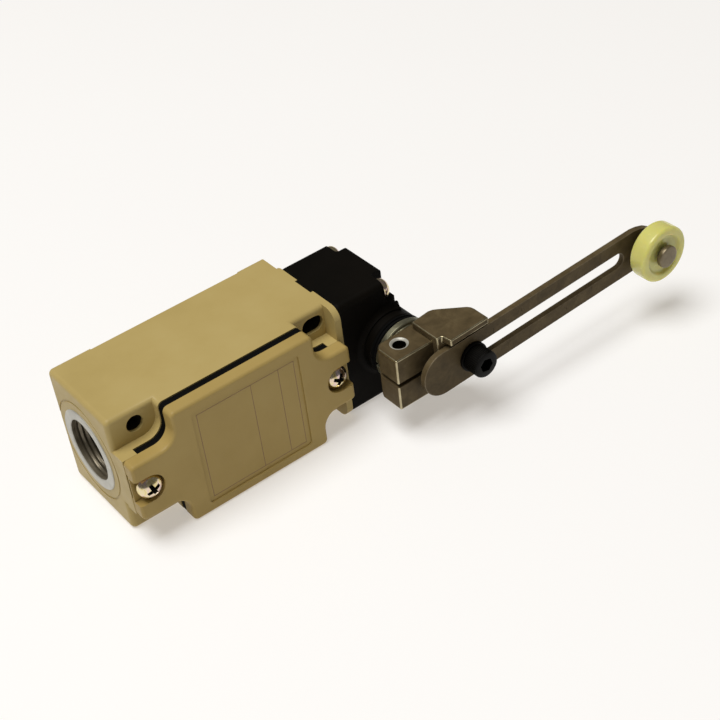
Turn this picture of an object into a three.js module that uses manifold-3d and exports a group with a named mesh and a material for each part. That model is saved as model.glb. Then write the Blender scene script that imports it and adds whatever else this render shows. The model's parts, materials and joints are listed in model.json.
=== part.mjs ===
// Roller lever limit switch with an adjustable arm.
//
// Frame, in millimetres: the housing lies on its side. X runs along the housing, from the
// conduit entry to the head and on along the lever arm. +Y points out of the mounting face,
// so the cover and the shaft point to -Y. +Z is up, and Z = 0 is the middle of the housing.
// The origin is on the mounting face, half way between the two round mounting holes.

import * as THREE from "three";
import { mergeVertices } from "three/addons/utils/BufferGeometryUtils.js";
import Module from "manifold-3d";

const wasm = await Module();
wasm.setup();

// ---------------------------------------------------------------- driving dimensions

// Mounting pattern and outer size of the housing.
const HOLE_PITCH = 60;            // between the round holes and the slots, along X
const HOLE_ROW = 30;              // between the two holes of a pair, along Z
const HOLE_DIAMETER = 5.3;
const SLOT_LENGTH = 7.3;
const CONDUIT_END = -8.4;         // X of the conduit end face
const HEAD_END = CONDUIT_END + 74.7;  // X of the face that carries the head
const HALF_WIDTH = 20;            // half of the housing in Z
const POCKET_DEPTH = 32.2;        // from the mounting face to the floor of a corner pocket
const RIM_DEPTH = 35.4;           // from the mounting face to the gasket
const LIP_DEPTH = 37.55;          // from the mounting face to the tips beside the gasket
const COVER_BACK = 37.6;
const NOTCH_FLOOR = 38.7;          // seat of the cover screws
const COVER_FRONT = 41.8;

// Waisted outline that the rim, the gasket and the cover share.
const NECK_HALF = 9.8;            // half width of the narrow ends, in Z
const WIDE_START = CONDUIT_END + 14.7;
const WIDE_END = CONDUIT_END + 62;
const POCKET_RADIUS = 5;
const WIDE_CORNER = 1.6;

// Conduit entry.
const CONDUIT_RADIUS = 9.6;
const CONDUIT_RING_RADIUS = 12.8;
const CONDUIT_RING_RISE = 0.3;
const CONDUIT_DEPTH = 15.8;       // its axis, below the mounting face

// Head.
const HEAD_BACK = -7.9;
const HEAD_FRONT = -36.6;
const HEAD_HALF = 19.9;
const HEAD_FLOOR = HEAD_END + 16.7;   // floor of the screw notches
const HEAD_FACE = HEAD_END + 20.7;    // raised end face
const HEAD_EDGE = 2;
const HEAD_SCREW_Y = [-10.6, -33.9];
const HEAD_SCREW_Z = 16.4;

// Shaft, barrel and lever.
const SHAFT_X = CONDUIT_END + 91;
const SHAFT_RADIUS = 3;
const BARREL_RADIUS = 9.7;
const BARREL_BACK = -8.6;
const BARREL_FRONT = -40.8;
const SEAL_FRONT = -43.1;
const HUB_BACK = -43.25;
const HUB_RADIUS = 10.2;
const JAW_BACK = -46;             // back of the clamp's block, in front of its hub
const CLAMP_FRONT = -56.3;
const CLAMP_HALF = 9;             // half height of the clamp in Z
const CLAMP_SPLIT = 1.5;
const CLAMP_BOLT_X = -6;          // from the shaft axis
const CLAMP_BOLT_Y = -50.3;
const ARM_ANGLE = 2.55;           // degrees that the arm is bolted above the X axis
const CLEARANCE = 0.1;            // running clearance, and the gap between stacked lever parts

// Adjustable arm and roller, measured from the shaft axis along the arm.
const ARM_BACK = -59.1;
const ARM_FRONT = -61.1;
const ARM_HALF = 7.4;
const ARM_SLOT_HALF = 2.65;
const ARM_NEAR_CENTRE = 1.2;
const ARM_BOLT = 11.7;
const SLOT_NEAR = 10.6;
const SLOT_FAR = 70.9;
const ROLLER_REACH = 82.6;
const ROLLER_RADIUS = 9.25;
const ROLLER_BACK = -63.3;
const ROLLER_FRONT = -69.6;
const PIN_FRONT = -71.7;

// Plunger line between the cam and the switch block.
const PLUNGER_Y = -21;
const CAM_RADIUS = 5.2;
const CAM_BACK = -16;
const CAM_FRONT = -26;

// Switch block inside the housing.
const BLOCK_START = CONDUIT_END + 27;
const BLOCK_END = CONDUIT_END + 58;
const CAVITY_FLOOR = -3.6;
const BLOCK_BACK = CAVITY_FLOOR - 0.05;
const BLOCK_FRONT = -26;
const BLOCK_HALF = 16.4;
const BLOCK_SCREW_X = (BLOCK_START + BLOCK_END) / 2;
const BLOCK_SCREW_Z = [-14.4, 14.4];
const TERMINAL_Z = [-10.5, 10.5];
const TERMINAL_X = [BLOCK_START + 5.2, BLOCK_END - 5.2];

const ROUND = 28;                 // sides of a large round
const SMALL_ROUND = 18;           // sides of a screw, pin or bore

// ---------------------------------------------------------------- finishes

function finish(colour, roughness, metalness) {
  return new THREE.MeshStandardMaterial({ color: colour, roughness, metalness });
}

const BEIGE_PAINT = finish(0xb0a06a, 0.55, 0.0);
const BLACK_PAINT = finish(0x17140f, 0.5, 0.0);
const BLACK_RUBBER = finish(0x0c0c0c, 0.8, 0.0);
const STEEL = finish(0x6b6152, 0.42, 0.9);
const BLACK_STEEL = finish(0x161514, 0.45, 0.7);
const ZINC_PLATE = finish(0xc9c6bb, 0.3, 0.95);
const BRIGHT_STEEL = finish(0xb5b2aa, 0.25, 1.0);
const NYLON = finish(0xdfdb8e, 0.4, 0.0);
const SPRING_STEEL = finish(0x8d8c88, 0.35, 1.0);
const BRONZE = finish(0x9a7340, 0.4, 0.9);
const BRASS = finish(0xb99a4c, 0.35, 0.95);
const SILVER = finish(0xd8d8d4, 0.3, 1.0);
const RED_RESIN = finish(0x7a2f22, 0.5, 0.0);
const PALE_RESIN = finish(0xcfc8b4, 0.5, 0.0);
const GREEN_PAINT = finish(0x2f6b3a, 0.5, 0.0);

// ---------------------------------------------------------------- solids

function solid(geometry) {
  const bare = geometry.index ? geometry.toNonIndexed() : geometry.clone();
  bare.deleteAttribute("normal");
  bare.deleteAttribute("uv");
  const merged = mergeVertices(bare, 1e-4);
  const vertProperties = new Float32Array(merged.attributes.position.array);
  const triVerts = new Uint32Array(merged.index.array);
  return new wasm.Manifold(new wasm.Mesh({ numProp: 3, vertProperties, triVerts }));
}

function surface(body) {
  const mesh = body.getMesh();
  const geometry = new THREE.BufferGeometry();
  geometry.setAttribute("position", new THREE.BufferAttribute(new Float32Array(mesh.vertProperties), 3));
  geometry.setIndex(new THREE.BufferAttribute(new Uint32Array(mesh.triVerts), 1));
  geometry.computeVertexNormals();
  return geometry;
}

function cut(body, ...tools) {
  return tools.reduce((left, tool) => left.subtract(tool), body);
}

function join(body, ...others) {
  return others.reduce((left, other) => left.add(other), body);
}

// Axis frames: an outline is drawn in the two named directions and extruded along the third.
const ALONG = {
  x: new THREE.Matrix4().makeBasis(
    new THREE.Vector3(0, 1, 0), new THREE.Vector3(0, 0, 1), new THREE.Vector3(1, 0, 0)),
  y: new THREE.Matrix4().makeBasis(
    new THREE.Vector3(0, 0, 1), new THREE.Vector3(1, 0, 0), new THREE.Vector3(0, 1, 0)),
  z: new THREE.Matrix4(),
};

// An outline along x is drawn in (y, z), along y in (z, x) and along z in (x, y).
function prism(axis, points, from, to, holes = []) {
  const shape = new THREE.Shape(points);
  for (const hole of holes) {
    shape.holes.push(new THREE.Path(hole));
  }
  const geometry = new THREE.ExtrudeGeometry(shape, { depth: to - from, bevelEnabled: false });
  geometry.translate(0, 0, from);
  return solid(geometry.applyMatrix4(ALONG[axis]));
}

function box(x0, x1, y0, y1, z0, z1) {
  const geometry = new THREE.BoxGeometry(x1 - x0, y1 - y0, z1 - z0);
  return solid(geometry.translate((x0 + x1) / 2, (y0 + y1) / 2, (z0 + z1) / 2));
}

function arc(cx, cy, radius, from, to, steps) {
  const points = [];
  for (let i = 0; i <= steps; i += 1) {
    const angle = THREE.MathUtils.degToRad(from + (to - from) * i / steps);
    points.push(new THREE.Vector2(cx + radius * Math.cos(angle), cy + radius * Math.sin(angle)));
  }
  return points;
}

function circle(cx, cy, radius, sides = SMALL_ROUND) {
  return arc(cx, cy, radius, 0, 360 * (sides - 1) / sides, sides - 1);
}

// Rod along an axis; its centre is given in that axis's two drawing directions.
function rod(axis, cx, cy, radius, from, to, sides = SMALL_ROUND) {
  return prism(axis, circle(cx, cy, radius, sides), from, to);
}

function tube(axis, cx, cy, outer, inner, from, to, sides = SMALL_ROUND) {
  return prism(axis, circle(cx, cy, outer, sides), from, to, [circle(cx, cy, inner, sides)]);
}

function roundedRectangle(u0, u1, v0, v1, radius, steps = 3) {
  return [
    ...arc(u1 - radius, v0 + radius, radius, -90, 0, steps),
    ...arc(u1 - radius, v1 - radius, radius, 0, 90, steps),
    ...arc(u0 + radius, v1 - radius, radius, 90, 180, steps),
    ...arc(u0 + radius, v0 + radius, radius, 180, 270, steps),
  ];
}

// Obround slot along u.
function obround(u0, u1, v, radius, steps = 8) {
  return [...arc(u1, v, radius, -90, 90, steps), ...arc(u0, v, radius, 90, 270, steps)];
}

function points(...pairs) {
  return pairs.map(([u, v]) => new THREE.Vector2(u, v));
}

// A solid of revolution. The profile is [radius, distance] pairs from axis to axis. Its axis
// starts at a point and runs in a direction.
function turned(profile, start, direction, sides = SMALL_ROUND) {
  const rising = profile[0][1] < profile.at(-1)[1] ? profile : [...profile].reverse();
  const geometry = new THREE.LatheGeometry(points(...rising), sides);
  const spin = new THREE.Quaternion();
  spin.setFromUnitVectors(new THREE.Vector3(0, 1, 0), new THREE.Vector3(...direction));
  geometry.applyQuaternion(spin);
  geometry.translate(...start);
  return solid(geometry);
}

// Cylindrical coil spring along an axis, as one wire with closed ends.
function coil(start, direction, radius, wire, length, turns) {
  const steps = turns * 12;
  const path = [];
  const spin = new THREE.Quaternion();
  spin.setFromUnitVectors(new THREE.Vector3(0, 0, 1), new THREE.Vector3(...direction));
  for (let i = 0; i <= steps; i += 1) {
    const angle = 2 * Math.PI * turns * i / steps;
    const point = new THREE.Vector3(radius * Math.cos(angle), radius * Math.sin(angle), length * i / steps);
    path.push(point.applyQuaternion(spin).add(new THREE.Vector3(...start)));
  }
  const geometry = new THREE.ExtrudeGeometry(new THREE.Shape(circle(0, 0, wire / 2, 6)), {
    extrudePath: new THREE.CatmullRomCurve3(path),
    steps,
    bevelEnabled: false,
  });
  return solid(geometry);
}

// ---------------------------------------------------------------- fasteners

// Pan head screw with a cross recess. The point given is the middle of the seat, and the
// shank runs in the direction given.
function panHeadScrew(seat, direction, headRadius, headHeight, shankRadius, shankLength) {
  const body = turned([
    [0, shankLength],
    [shankRadius - 0.4, shankLength],
    [shankRadius, shankLength - 0.8],
    [shankRadius, 0],
    [headRadius, 0],
    [headRadius, -headHeight * 0.45],
    [headRadius * 0.86, -headHeight * 0.78],
    [headRadius * 0.5, -headHeight * 0.96],
    [0, -headHeight],
  ], seat, direction);
  const slot = new THREE.Quaternion();
  slot.setFromUnitVectors(new THREE.Vector3(0, 1, 0), new THREE.Vector3(...direction));
  const arms = [[0.55, headRadius * 1.1], [headRadius * 1.1, 0.55]].map(([wide, long]) => {
    const bar = new THREE.BoxGeometry(wide, headHeight * 0.6, long).translate(0, -headHeight * 0.75, 0);
    return solid(bar.applyQuaternion(slot).translate(...seat));
  });
  return cut(body, ...arms);
}

// Cap screw with a hexagon socket. The seat is under the head and the shank runs in the
// direction given.
function capScrew(seat, direction, headRadius, headHeight, shankRadius, shankLength, socket) {
  const body = turned([
    [0, shankLength],
    [shankRadius - 0.4, shankLength],
    [shankRadius, shankLength - 0.8],
    [shankRadius, 0],
    [headRadius, 0],
    [headRadius, -headHeight + 0.4],
    [headRadius - 0.4, -headHeight],
    [0, -headHeight],
  ], seat, direction, 24);
  const spin = new THREE.Quaternion();
  spin.setFromUnitVectors(new THREE.Vector3(0, 1, 0), new THREE.Vector3(...direction));
  const hexagon = new THREE.CylinderGeometry(socket / Math.sqrt(3), socket / Math.sqrt(3), headHeight, 6);
  hexagon.translate(0, -headHeight, 0);
  return cut(body, solid(hexagon.applyQuaternion(spin).translate(...seat)));
}

// ---------------------------------------------------------------- waisted outline

// Outline in (z, x) of a plate that is wide in the middle and narrow at both ends, with the
// tool radius of the four corner pockets. A positive inset makes it smaller all round.
function waisted(start, end, inset = 0) {
  const neck = NECK_HALF - inset;
  const half = HALF_WIDTH - inset;
  const wideStart = WIDE_START + inset;
  const wideEnd = WIDE_END - inset;
  const tool = POCKET_RADIUS + inset;
  const corner = Math.max(WIDE_CORNER - inset, 0.3);
  const lower = [
    ...points([neck, start]),
    ...arc(neck + tool, wideStart - tool, tool, 180, 90, 5),
    ...arc(half - corner, wideStart + corner, corner, -90, 0, 3),
  ];
  const upper = [
    ...arc(half - corner, wideEnd - corner, corner, 0, 90, 3),
    ...arc(neck + tool, wideEnd + tool, tool, -90, -180, 5),
    ...points([neck, end]),
  ];
  const right = [...lower, ...upper];
  const left = right.map((point) => new THREE.Vector2(-point.x, point.y)).reverse();
  return [...right, ...left];
}

// ---------------------------------------------------------------- housing and cover

const CAVITY_START = CONDUIT_END + 17;
const CAVITY_END = CONDUIT_END + 60;
const CAVITY_HALF = 17.2;
const GROUND_X = CAVITY_START + 5;
const COVER_SCREW_X = [CONDUIT_END + 4.7, CONDUIT_END + 68.8];
const COVER_NOTCH_RADIUS = 4.4;
const COVER_SCREW_SHANK = 2;
const BACK_RELIEF = 0.9;
const PLUNGER_BORE = 2.6;

function housing() {
  const outline = roundedRectangle(-HALF_WIDTH, HALF_WIDTH, CONDUIT_END, HEAD_END - 1, 1.4);
  const block = prism("y", outline, -POCKET_DEPTH, 0);
  const rim = prism("y", waisted(CONDUIT_END, HEAD_END - 1), -RIM_DEPTH, -POCKET_DEPTH + 1);
  const lips = [
    box(CONDUIT_END, CONDUIT_END + 4.7, -LIP_DEPTH, -RIM_DEPTH + 1, -NECK_HALF, NECK_HALF),
    box(HEAD_END - 7, HEAD_END, -LIP_DEPTH, -RIM_DEPTH + 1, -NECK_HALF, NECK_HALF),
  ];
  // The end flange closes the two pockets beside the head and carries the head's seat.
  const flangeOutline = roundedRectangle(-LIP_DEPTH, -5.5, -HALF_WIDTH, HALF_WIDTH, 3.8);
  const flange = prism("x", flangeOutline, HEAD_END - 2.1, HEAD_END);
  const ringFace = CONDUIT_END - CONDUIT_RING_RISE;
  const ring = rod("x", -CONDUIT_DEPTH, 0, CONDUIT_RING_RADIUS, ringFace, CONDUIT_END + 1, ROUND);
  const body = join(block, rim, ...lips, flange, ring);

  const cavity = box(CAVITY_START, CAVITY_END, -RIM_DEPTH - 3, CAVITY_FLOOR, -CAVITY_HALF, CAVITY_HALF);
  const conduit = rod("x", -CONDUIT_DEPTH, 0, CONDUIT_RADIUS, CONDUIT_END - 2, CAVITY_START + 1, ROUND);
  // The middle of the mounting face lies a little below its two end lands.
  const relief = box(WIDE_START - 1, HEAD_END - 10, -BACK_RELIEF, 1, -HALF_WIDTH - 1, HALF_WIDTH + 1);
  const keyways = [-1, 1].map((side) => box(HEAD_END - 0.9, HEAD_END + 1, -24.9, -17.1,
    Math.min(side * 17, side * 21), Math.max(side * 17, side * 21)));
  const spigotSeat = rod("x", PLUNGER_Y, 0, 11.4, HEAD_END - 2.4, HEAD_END + 1, ROUND);
  const plungerBore = rod("x", PLUNGER_Y, 0, PLUNGER_BORE, CAVITY_END - 1, HEAD_END);
  const holes = [];
  for (const z of [-HOLE_ROW / 2, HOLE_ROW / 2]) {
    holes.push(rod("y", z, 0, HOLE_DIAMETER / 2, -POCKET_DEPTH - 1, 1));
    const reach = (SLOT_LENGTH - HOLE_DIAMETER) / 2;
    const slot = obround(HOLE_PITCH - reach, HOLE_PITCH + reach, z, HOLE_DIAMETER / 2);
    holes.push(prism("y", slot.map((point) => new THREE.Vector2(point.y, point.x)), -POCKET_DEPTH - 1, 1));
    for (const y of HEAD_SCREW_Y) {
      holes.push(rod("x", y, z > 0 ? HEAD_SCREW_Z : -HEAD_SCREW_Z, 1.8, HEAD_END - 1.9, HEAD_END + 1));
    }
  }
  const threads = COVER_SCREW_X.map((x) => rod("y", 0, x, COVER_SCREW_SHANK + 0.05, -LIP_DEPTH - 1, -28));
  const blockScrews = BLOCK_SCREW_Z.map((z) => rod("y", z, BLOCK_SCREW_X, 0.9, CAVITY_FLOOR - 1, -1.4));
  const groundThread = rod("y", 0, GROUND_X, 1.3, CAVITY_FLOOR - 1, -1.4);
  return cut(body, cavity, conduit, relief, spigotSeat, plungerBore, groundThread,
    ...keyways, ...holes, ...threads, ...blockScrews);
}

function coverGasket() {
  const start = CONDUIT_END + 4.8;
  const end = HEAD_END - 7.1;
  const windowHalf = CAVITY_HALF - 0.6;
  const window = roundedRectangle(-windowHalf, windowHalf, CAVITY_START + 0.6, CAVITY_END - 0.6, 2);
  const plate = prism("y", waisted(start, end, 0.25), -COVER_BACK, -RIM_DEPTH, [window]);
  const holes = COVER_SCREW_X.map((x) => rod("y", 0, x, 2.3, -COVER_BACK - 1, -RIM_DEPTH + 1));
  return cut(plate, ...holes);
}

function cover() {
  const plate = prism("y", waisted(CONDUIT_END + 0.1, HEAD_END - 1.1), -COVER_FRONT, -COVER_BACK);
  const notches = [];
  for (const [index, x] of COVER_SCREW_X.entries()) {
    const outward = index === 0 ? -1 : 1;
    const near = x + outward * 0.25;
    const far = x + outward * 12;
    const notch = obround(Math.min(near, far), Math.max(near, far), 0, COVER_NOTCH_RADIUS);
    notches.push(prism("y", notch.map((point) => new THREE.Vector2(point.y, point.x)),
      -COVER_FRONT - 1, -NOTCH_FLOOR));
    notches.push(rod("y", 0, x, COVER_SCREW_SHANK + 0.3, -COVER_FRONT - 1, -COVER_BACK + 1));
  }
  // Pry slots under both ends of the cover.
  const pry = [CONDUIT_END, HEAD_END - 2.6].map(
    (x) => box(x - 0.5, x + 1.8, -COVER_BACK - 0.7, -COVER_BACK + 1, -3.4, 5.4));
  // The label panel is a shallow recess in the face.
  const panel = box(CONDUIT_END + 20.6, CONDUIT_END + 56.4,
    -COVER_FRONT - 1, -COVER_FRONT + 0.25, -16.8, 16.6);
  return cut(plate, panel, ...notches, ...pry);
}

// The lift is how far the screw still stands off its seat.
function coverScrew(x, lift) {
  return panHeadScrew([x, -NOTCH_FLOOR - lift, 0], [0, 1, 0], 3.8, 3.5, COVER_SCREW_SHANK, 9.5);
}

// ---------------------------------------------------------------- head

const HEAD_SPIGOT_RADIUS = 10.6;
const BUSH_RADIUS = 6;
const CHAMBER_RADIUS = 7.4;
const SPRING_SEAT = HEAD_END + 2.5;

function headHousing() {
  const outline = roundedRectangle(HEAD_FRONT, HEAD_BACK, -HEAD_HALF, HEAD_HALF, HEAD_EDGE);
  const block = prism("x", outline, HEAD_END, HEAD_FACE);
  const barrel = rod("y", 0, SHAFT_X, BARREL_RADIUS, BARREL_FRONT, BARREL_BACK, ROUND);
  const root = turned([[0, 0], [12, 0], [10.3, -1], [0, -1]], [SHAFT_X, HEAD_FRONT, 0], [0, 1, 0], ROUND);
  const rootLimit = box(HEAD_END, HEAD_FACE + 0.8, HEAD_FRONT - 2, HEAD_FRONT + 1, -12.6, 12.6);
  const spigot = rod("x", PLUNGER_Y, 0, HEAD_SPIGOT_RADIUS, HEAD_END - 1.2, HEAD_END + 1, ROUND);
  const keys = [-1, 1].map((side) => box(HEAD_END - 0.8, HEAD_END + 1, -24.8, -17.2,
    Math.min(side * 17.1, side * HEAD_HALF), Math.max(side * 17.1, side * HEAD_HALF)));
  const body = join(block, barrel, root.intersect(rootLimit), spigot, ...keys);

  const notches = [];
  for (const side of [-1, 1]) {
    for (const y of HEAD_SCREW_Y) {
      const inner = y > PLUNGER_Y ? -14.2 : -30.3;
      const outer = y > PLUNGER_Y ? HEAD_BACK + 1 : HEAD_FRONT - 1;
      notches.push(box(HEAD_FLOOR, HEAD_FACE + 1, Math.min(inner, outer), Math.max(inner, outer),
        Math.min(side * 13.1, side * 22), Math.max(side * 13.1, side * 22)));
      notches.push(rod("x", y, side * HEAD_SCREW_Z, 1.85, HEAD_END - 1, HEAD_FLOOR + 1));
    }
  }
  const chamber = rod("y", 0, SHAFT_X, CHAMBER_RADIUS, -33.6, -11.6, ROUND);
  const camRoom = box(SPRING_SEAT, SHAFT_X, -27, -15, -5.6, 5.6);
  const plungerBore = rod("x", PLUNGER_Y, 0, PLUNGER_BORE, HEAD_END - 2, SPRING_SEAT + 1);
  const bushBore = rod("y", 0, SHAFT_X, BUSH_RADIUS, BARREL_FRONT - 1, -33, 24);
  return cut(body, chamber, camRoom, plungerBore, bushBore, ...notches);
}

function headSeal() {
  return tube("x", PLUNGER_Y, 0, HEAD_SPIGOT_RADIUS, 4, HEAD_END - 2.35, HEAD_END - 1.25, ROUND);
}

function headScrew(y, z) {
  return panHeadScrew([HEAD_FLOOR, y, z], [-1, 0, 0], 3.2, 3, 1.75, 18.3);
}

function bearingBush() {
  return tube("y", 0, SHAFT_X, BUSH_RADIUS, SHAFT_RADIUS + CLEARANCE / 2, -40.6, -33.8, 24);
}

function dustSeal() {
  const body = turned([
    [0, 0],
    [9.8, 0],
    [9.8, -1.6],
    [9, SEAL_FRONT - BARREL_FRONT],
    [0, SEAL_FRONT - BARREL_FRONT],
  ], [SHAFT_X, BARREL_FRONT, 0], [0, 1, 0], ROUND);
  return cut(body, rod("y", 0, SHAFT_X, SHAFT_RADIUS + 0.15, SEAL_FRONT - 1, BARREL_FRONT + 1));
}

// ---------------------------------------------------------------- shaft and cam

function shaft() {
  return turned([
    [0, 0],
    [SHAFT_RADIUS - 0.5, 0],
    [SHAFT_RADIUS, -0.5],
    [SHAFT_RADIUS, -41],
    [SHAFT_RADIUS - 0.6, -41.6],
    [0, -41.6],
  ], [SHAFT_X, -13.2, 0], [0, 1, 0], 24);
}

// The flat of the cam faces the plunger, and either of its edges pushes the plunger in.
function cam() {
  const disc = rod("y", 0, SHAFT_X, CAM_RADIUS, CAM_FRONT, CAM_BACK, 24);
  const flat = box(SHAFT_X - 8, SHAFT_X - 3.9, CAM_FRONT - 1, CAM_BACK + 1, -6, 6);
  return cut(disc, flat, rod("y", 0, SHAFT_X, SHAFT_RADIUS + 0.02, CAM_FRONT - 1, CAM_BACK + 1, 24));
}

function returnSpring() {
  return coil([SHAFT_X, -27.4, 0], [0, -1, 0], 4.8, 1, 5, 5);
}

// ---------------------------------------------------------------- plunger line

const PLUNGER_TIP = SHAFT_X - CAM_RADIUS - 0.3;
const PLUNGER_TRAVEL = 1.4;
const COLLAR_BACK = PLUNGER_TIP - 3.3;
const PLUNGER_TAIL = CAVITY_END + 1.6;
const ACTUATOR_TIP = PLUNGER_TAIL - 0.3;

function plunger() {
  return turned([
    [0, PLUNGER_TIP],
    [1.4, PLUNGER_TIP - 0.2],
    [2.3, PLUNGER_TIP - 1.2],
    [2.3, COLLAR_BACK + 1.2],
    [4, COLLAR_BACK + 1.2],
    [4, COLLAR_BACK],
    [2.3, COLLAR_BACK],
    [2.3, PLUNGER_TAIL],
    [0, PLUNGER_TAIL],
  ], [0, PLUNGER_Y, 0], [1, 0, 0]);
}

function plungerSpring() {
  const wire = 0.7;
  const start = SPRING_SEAT + wire;
  const end = COLLAR_BACK - PLUNGER_TRAVEL - wire;
  return coil([start, PLUNGER_Y, 0], [1, 0, 0], 3.3, wire, end - start, 2);
}

// ---------------------------------------------------------------- switch block

const CARRIER_HALF = 3.2;
const CARRIER_START = BLOCK_START + 7;
const CHANNEL_START = BLOCK_START + 2;
const CHAMBER_BACK = -17.5;
const CHAMBER_FRONT = -23.3;
const CHAMBER_HALF = 11.5;
const LID_START = BLOCK_START + 8.9;
const LID_END = BLOCK_END - 8.9;
const LID_HALF = 12.6;
const WELL_FLOOR = -22;
const CLOSING_X = BLOCK_START + 11;   // bridge that closes when the plunger goes in
const OPENING_X = BLOCK_START + 20;   // bridge that opens
const CONTACT_Y = -20.8;
const CONTACT_Z = 8.3;
const BUTTON_HALF = 1;

function switchCase() {
  const body = box(BLOCK_START, BLOCK_END, BLOCK_FRONT, BLOCK_BACK, -BLOCK_HALF, BLOCK_HALF);
  const channelHalf = CARRIER_HALF + 0.3;
  const channel = box(CHANNEL_START, BLOCK_END + 1, CHAMBER_FRONT, CHAMBER_BACK, -channelHalf, channelHalf);
  const chamber = box(CLOSING_X - 5, OPENING_X + 5,
    CHAMBER_FRONT, CHAMBER_BACK, -CHAMBER_HALF, CHAMBER_HALF);
  const lidSeat = box(LID_START, LID_END, BLOCK_FRONT - 1, CHAMBER_FRONT, -LID_HALF, LID_HALF);
  const wells = [];
  for (const x of TERMINAL_X) {
    const outlet = x < BLOCK_SCREW_X ? BLOCK_START - 1 : BLOCK_END + 1;
    for (const z of TERMINAL_Z) {
      wells.push(box(x - 3.6, x + 3.6, BLOCK_FRONT - 1, WELL_FLOOR, z - 3.4, z + 3.4));
      wells.push(box(Math.min(x, outlet), Math.max(x, outlet),
        BLOCK_FRONT - 1, WELL_FLOOR, z - 2.4, z + 2.4));
      wells.push(rod("y", z, x, 1.6, WELL_FLOOR - 0.5, -12));
    }
  }
  const screwHoles = BLOCK_SCREW_Z.flatMap((z) => [
    rod("y", z, BLOCK_SCREW_X, 1.1, -23.5, BLOCK_BACK + 1, 12),
    rod("y", z, BLOCK_SCREW_X, 1.85, BLOCK_FRONT - 1, -23),
  ]);
  return cut(body, channel, chamber, lidSeat, ...wells, ...screwHoles);
}

function switchLid() {
  const half = LID_HALF - 0.1;
  return box(LID_START + 0.1, LID_END - 0.1, BLOCK_FRONT + 0.2, CHAMBER_FRONT - 0.05, -half, half);
}

function contactCarrier() {
  const body = box(CARRIER_START, BLOCK_END - 2.2, -22.9, -18.2, -CARRIER_HALF, CARRIER_HALF);
  const stem = rod("x", PLUNGER_Y, 0, 2.2, BLOCK_END - 3, ACTUATOR_TIP);
  const windows = [CLOSING_X, OPENING_X].map((x) => box(x - 1.2, x + 1.2, -22, -19.5, -6, 6));
  return cut(join(body, stem), ...windows);
}

function contactBridge(x) {
  const strip = box(x - 0.4, x + 0.4, -21.8, -19.7, -9.6, 9.6);
  const buttons = [-1, 1].map(
    (side) => rod("x", CONTACT_Y, side * CONTACT_Z, 1.1, x - BUTTON_HALF, x + BUTTON_HALF, 12));
  return join(strip, ...buttons);
}

// A terminal is one strip: a pad under its screw, a riser and a contact button. Its button
// faces the bridge across the gap given.
function terminal(bridgeX, padX, z, gap) {
  const toward = Math.sign(padX - bridgeX);
  const face = bridgeX + toward * (BUTTON_HALF + gap);
  const back = face + toward * 1.6;
  const edge = back + toward * 0.7;
  const side = Math.sign(z);
  const button = rod("x", CONTACT_Y, side * CONTACT_Z, 1.1, Math.min(face, back), Math.max(face, back), 12);
  const riser = box(Math.min(back, edge), Math.max(back, edge), -22.9, -19.6,
    Math.min(side * 6.9, side * 8.9), Math.max(side * 6.9, side * 8.9));
  const pad = box(padX - 3.3, padX + 3.3, -22.9, WELL_FLOOR - 0.05, z - 3.1, z + 3.1);
  return cut(join(button, riser, pad), rod("y", z, padX, 1.6, -24, -21));
}

function contactSpring() {
  const wire = 0.5;
  const start = CHANNEL_START + wire;
  const end = CARRIER_START - PLUNGER_TRAVEL - wire;
  return coil([start, CONTACT_Y, 0], [1, 0, 0], 1.7, wire, end - start, 3);
}

function terminalScrew(x, z) {
  return panHeadScrew([x, -23, z], [0, 1, 0], 2.9, 2.2, 1.5, 9.5);
}

function blockScrew(z) {
  return panHeadScrew([BLOCK_SCREW_X, -23.05, z], [0, 1, 0], 1.7, 1.4, 0.85, 21.2);
}

function groundScrew() {
  return panHeadScrew([GROUND_X, CAVITY_FLOOR - 0.85, 0], [0, 1, 0], 2.9, 2.2, 1.25, 2.6);
}

function groundWasher() {
  return tube("y", 0, GROUND_X, 3.6, 1.4, CAVITY_FLOOR - 0.8, CAVITY_FLOOR - 0.05);
}

// ---------------------------------------------------------------- lever

const BRACKET_START = 1.5;        // bracket, from the shaft axis
const BRACKET_END = 18;
const SHEET = 2.2;

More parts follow.
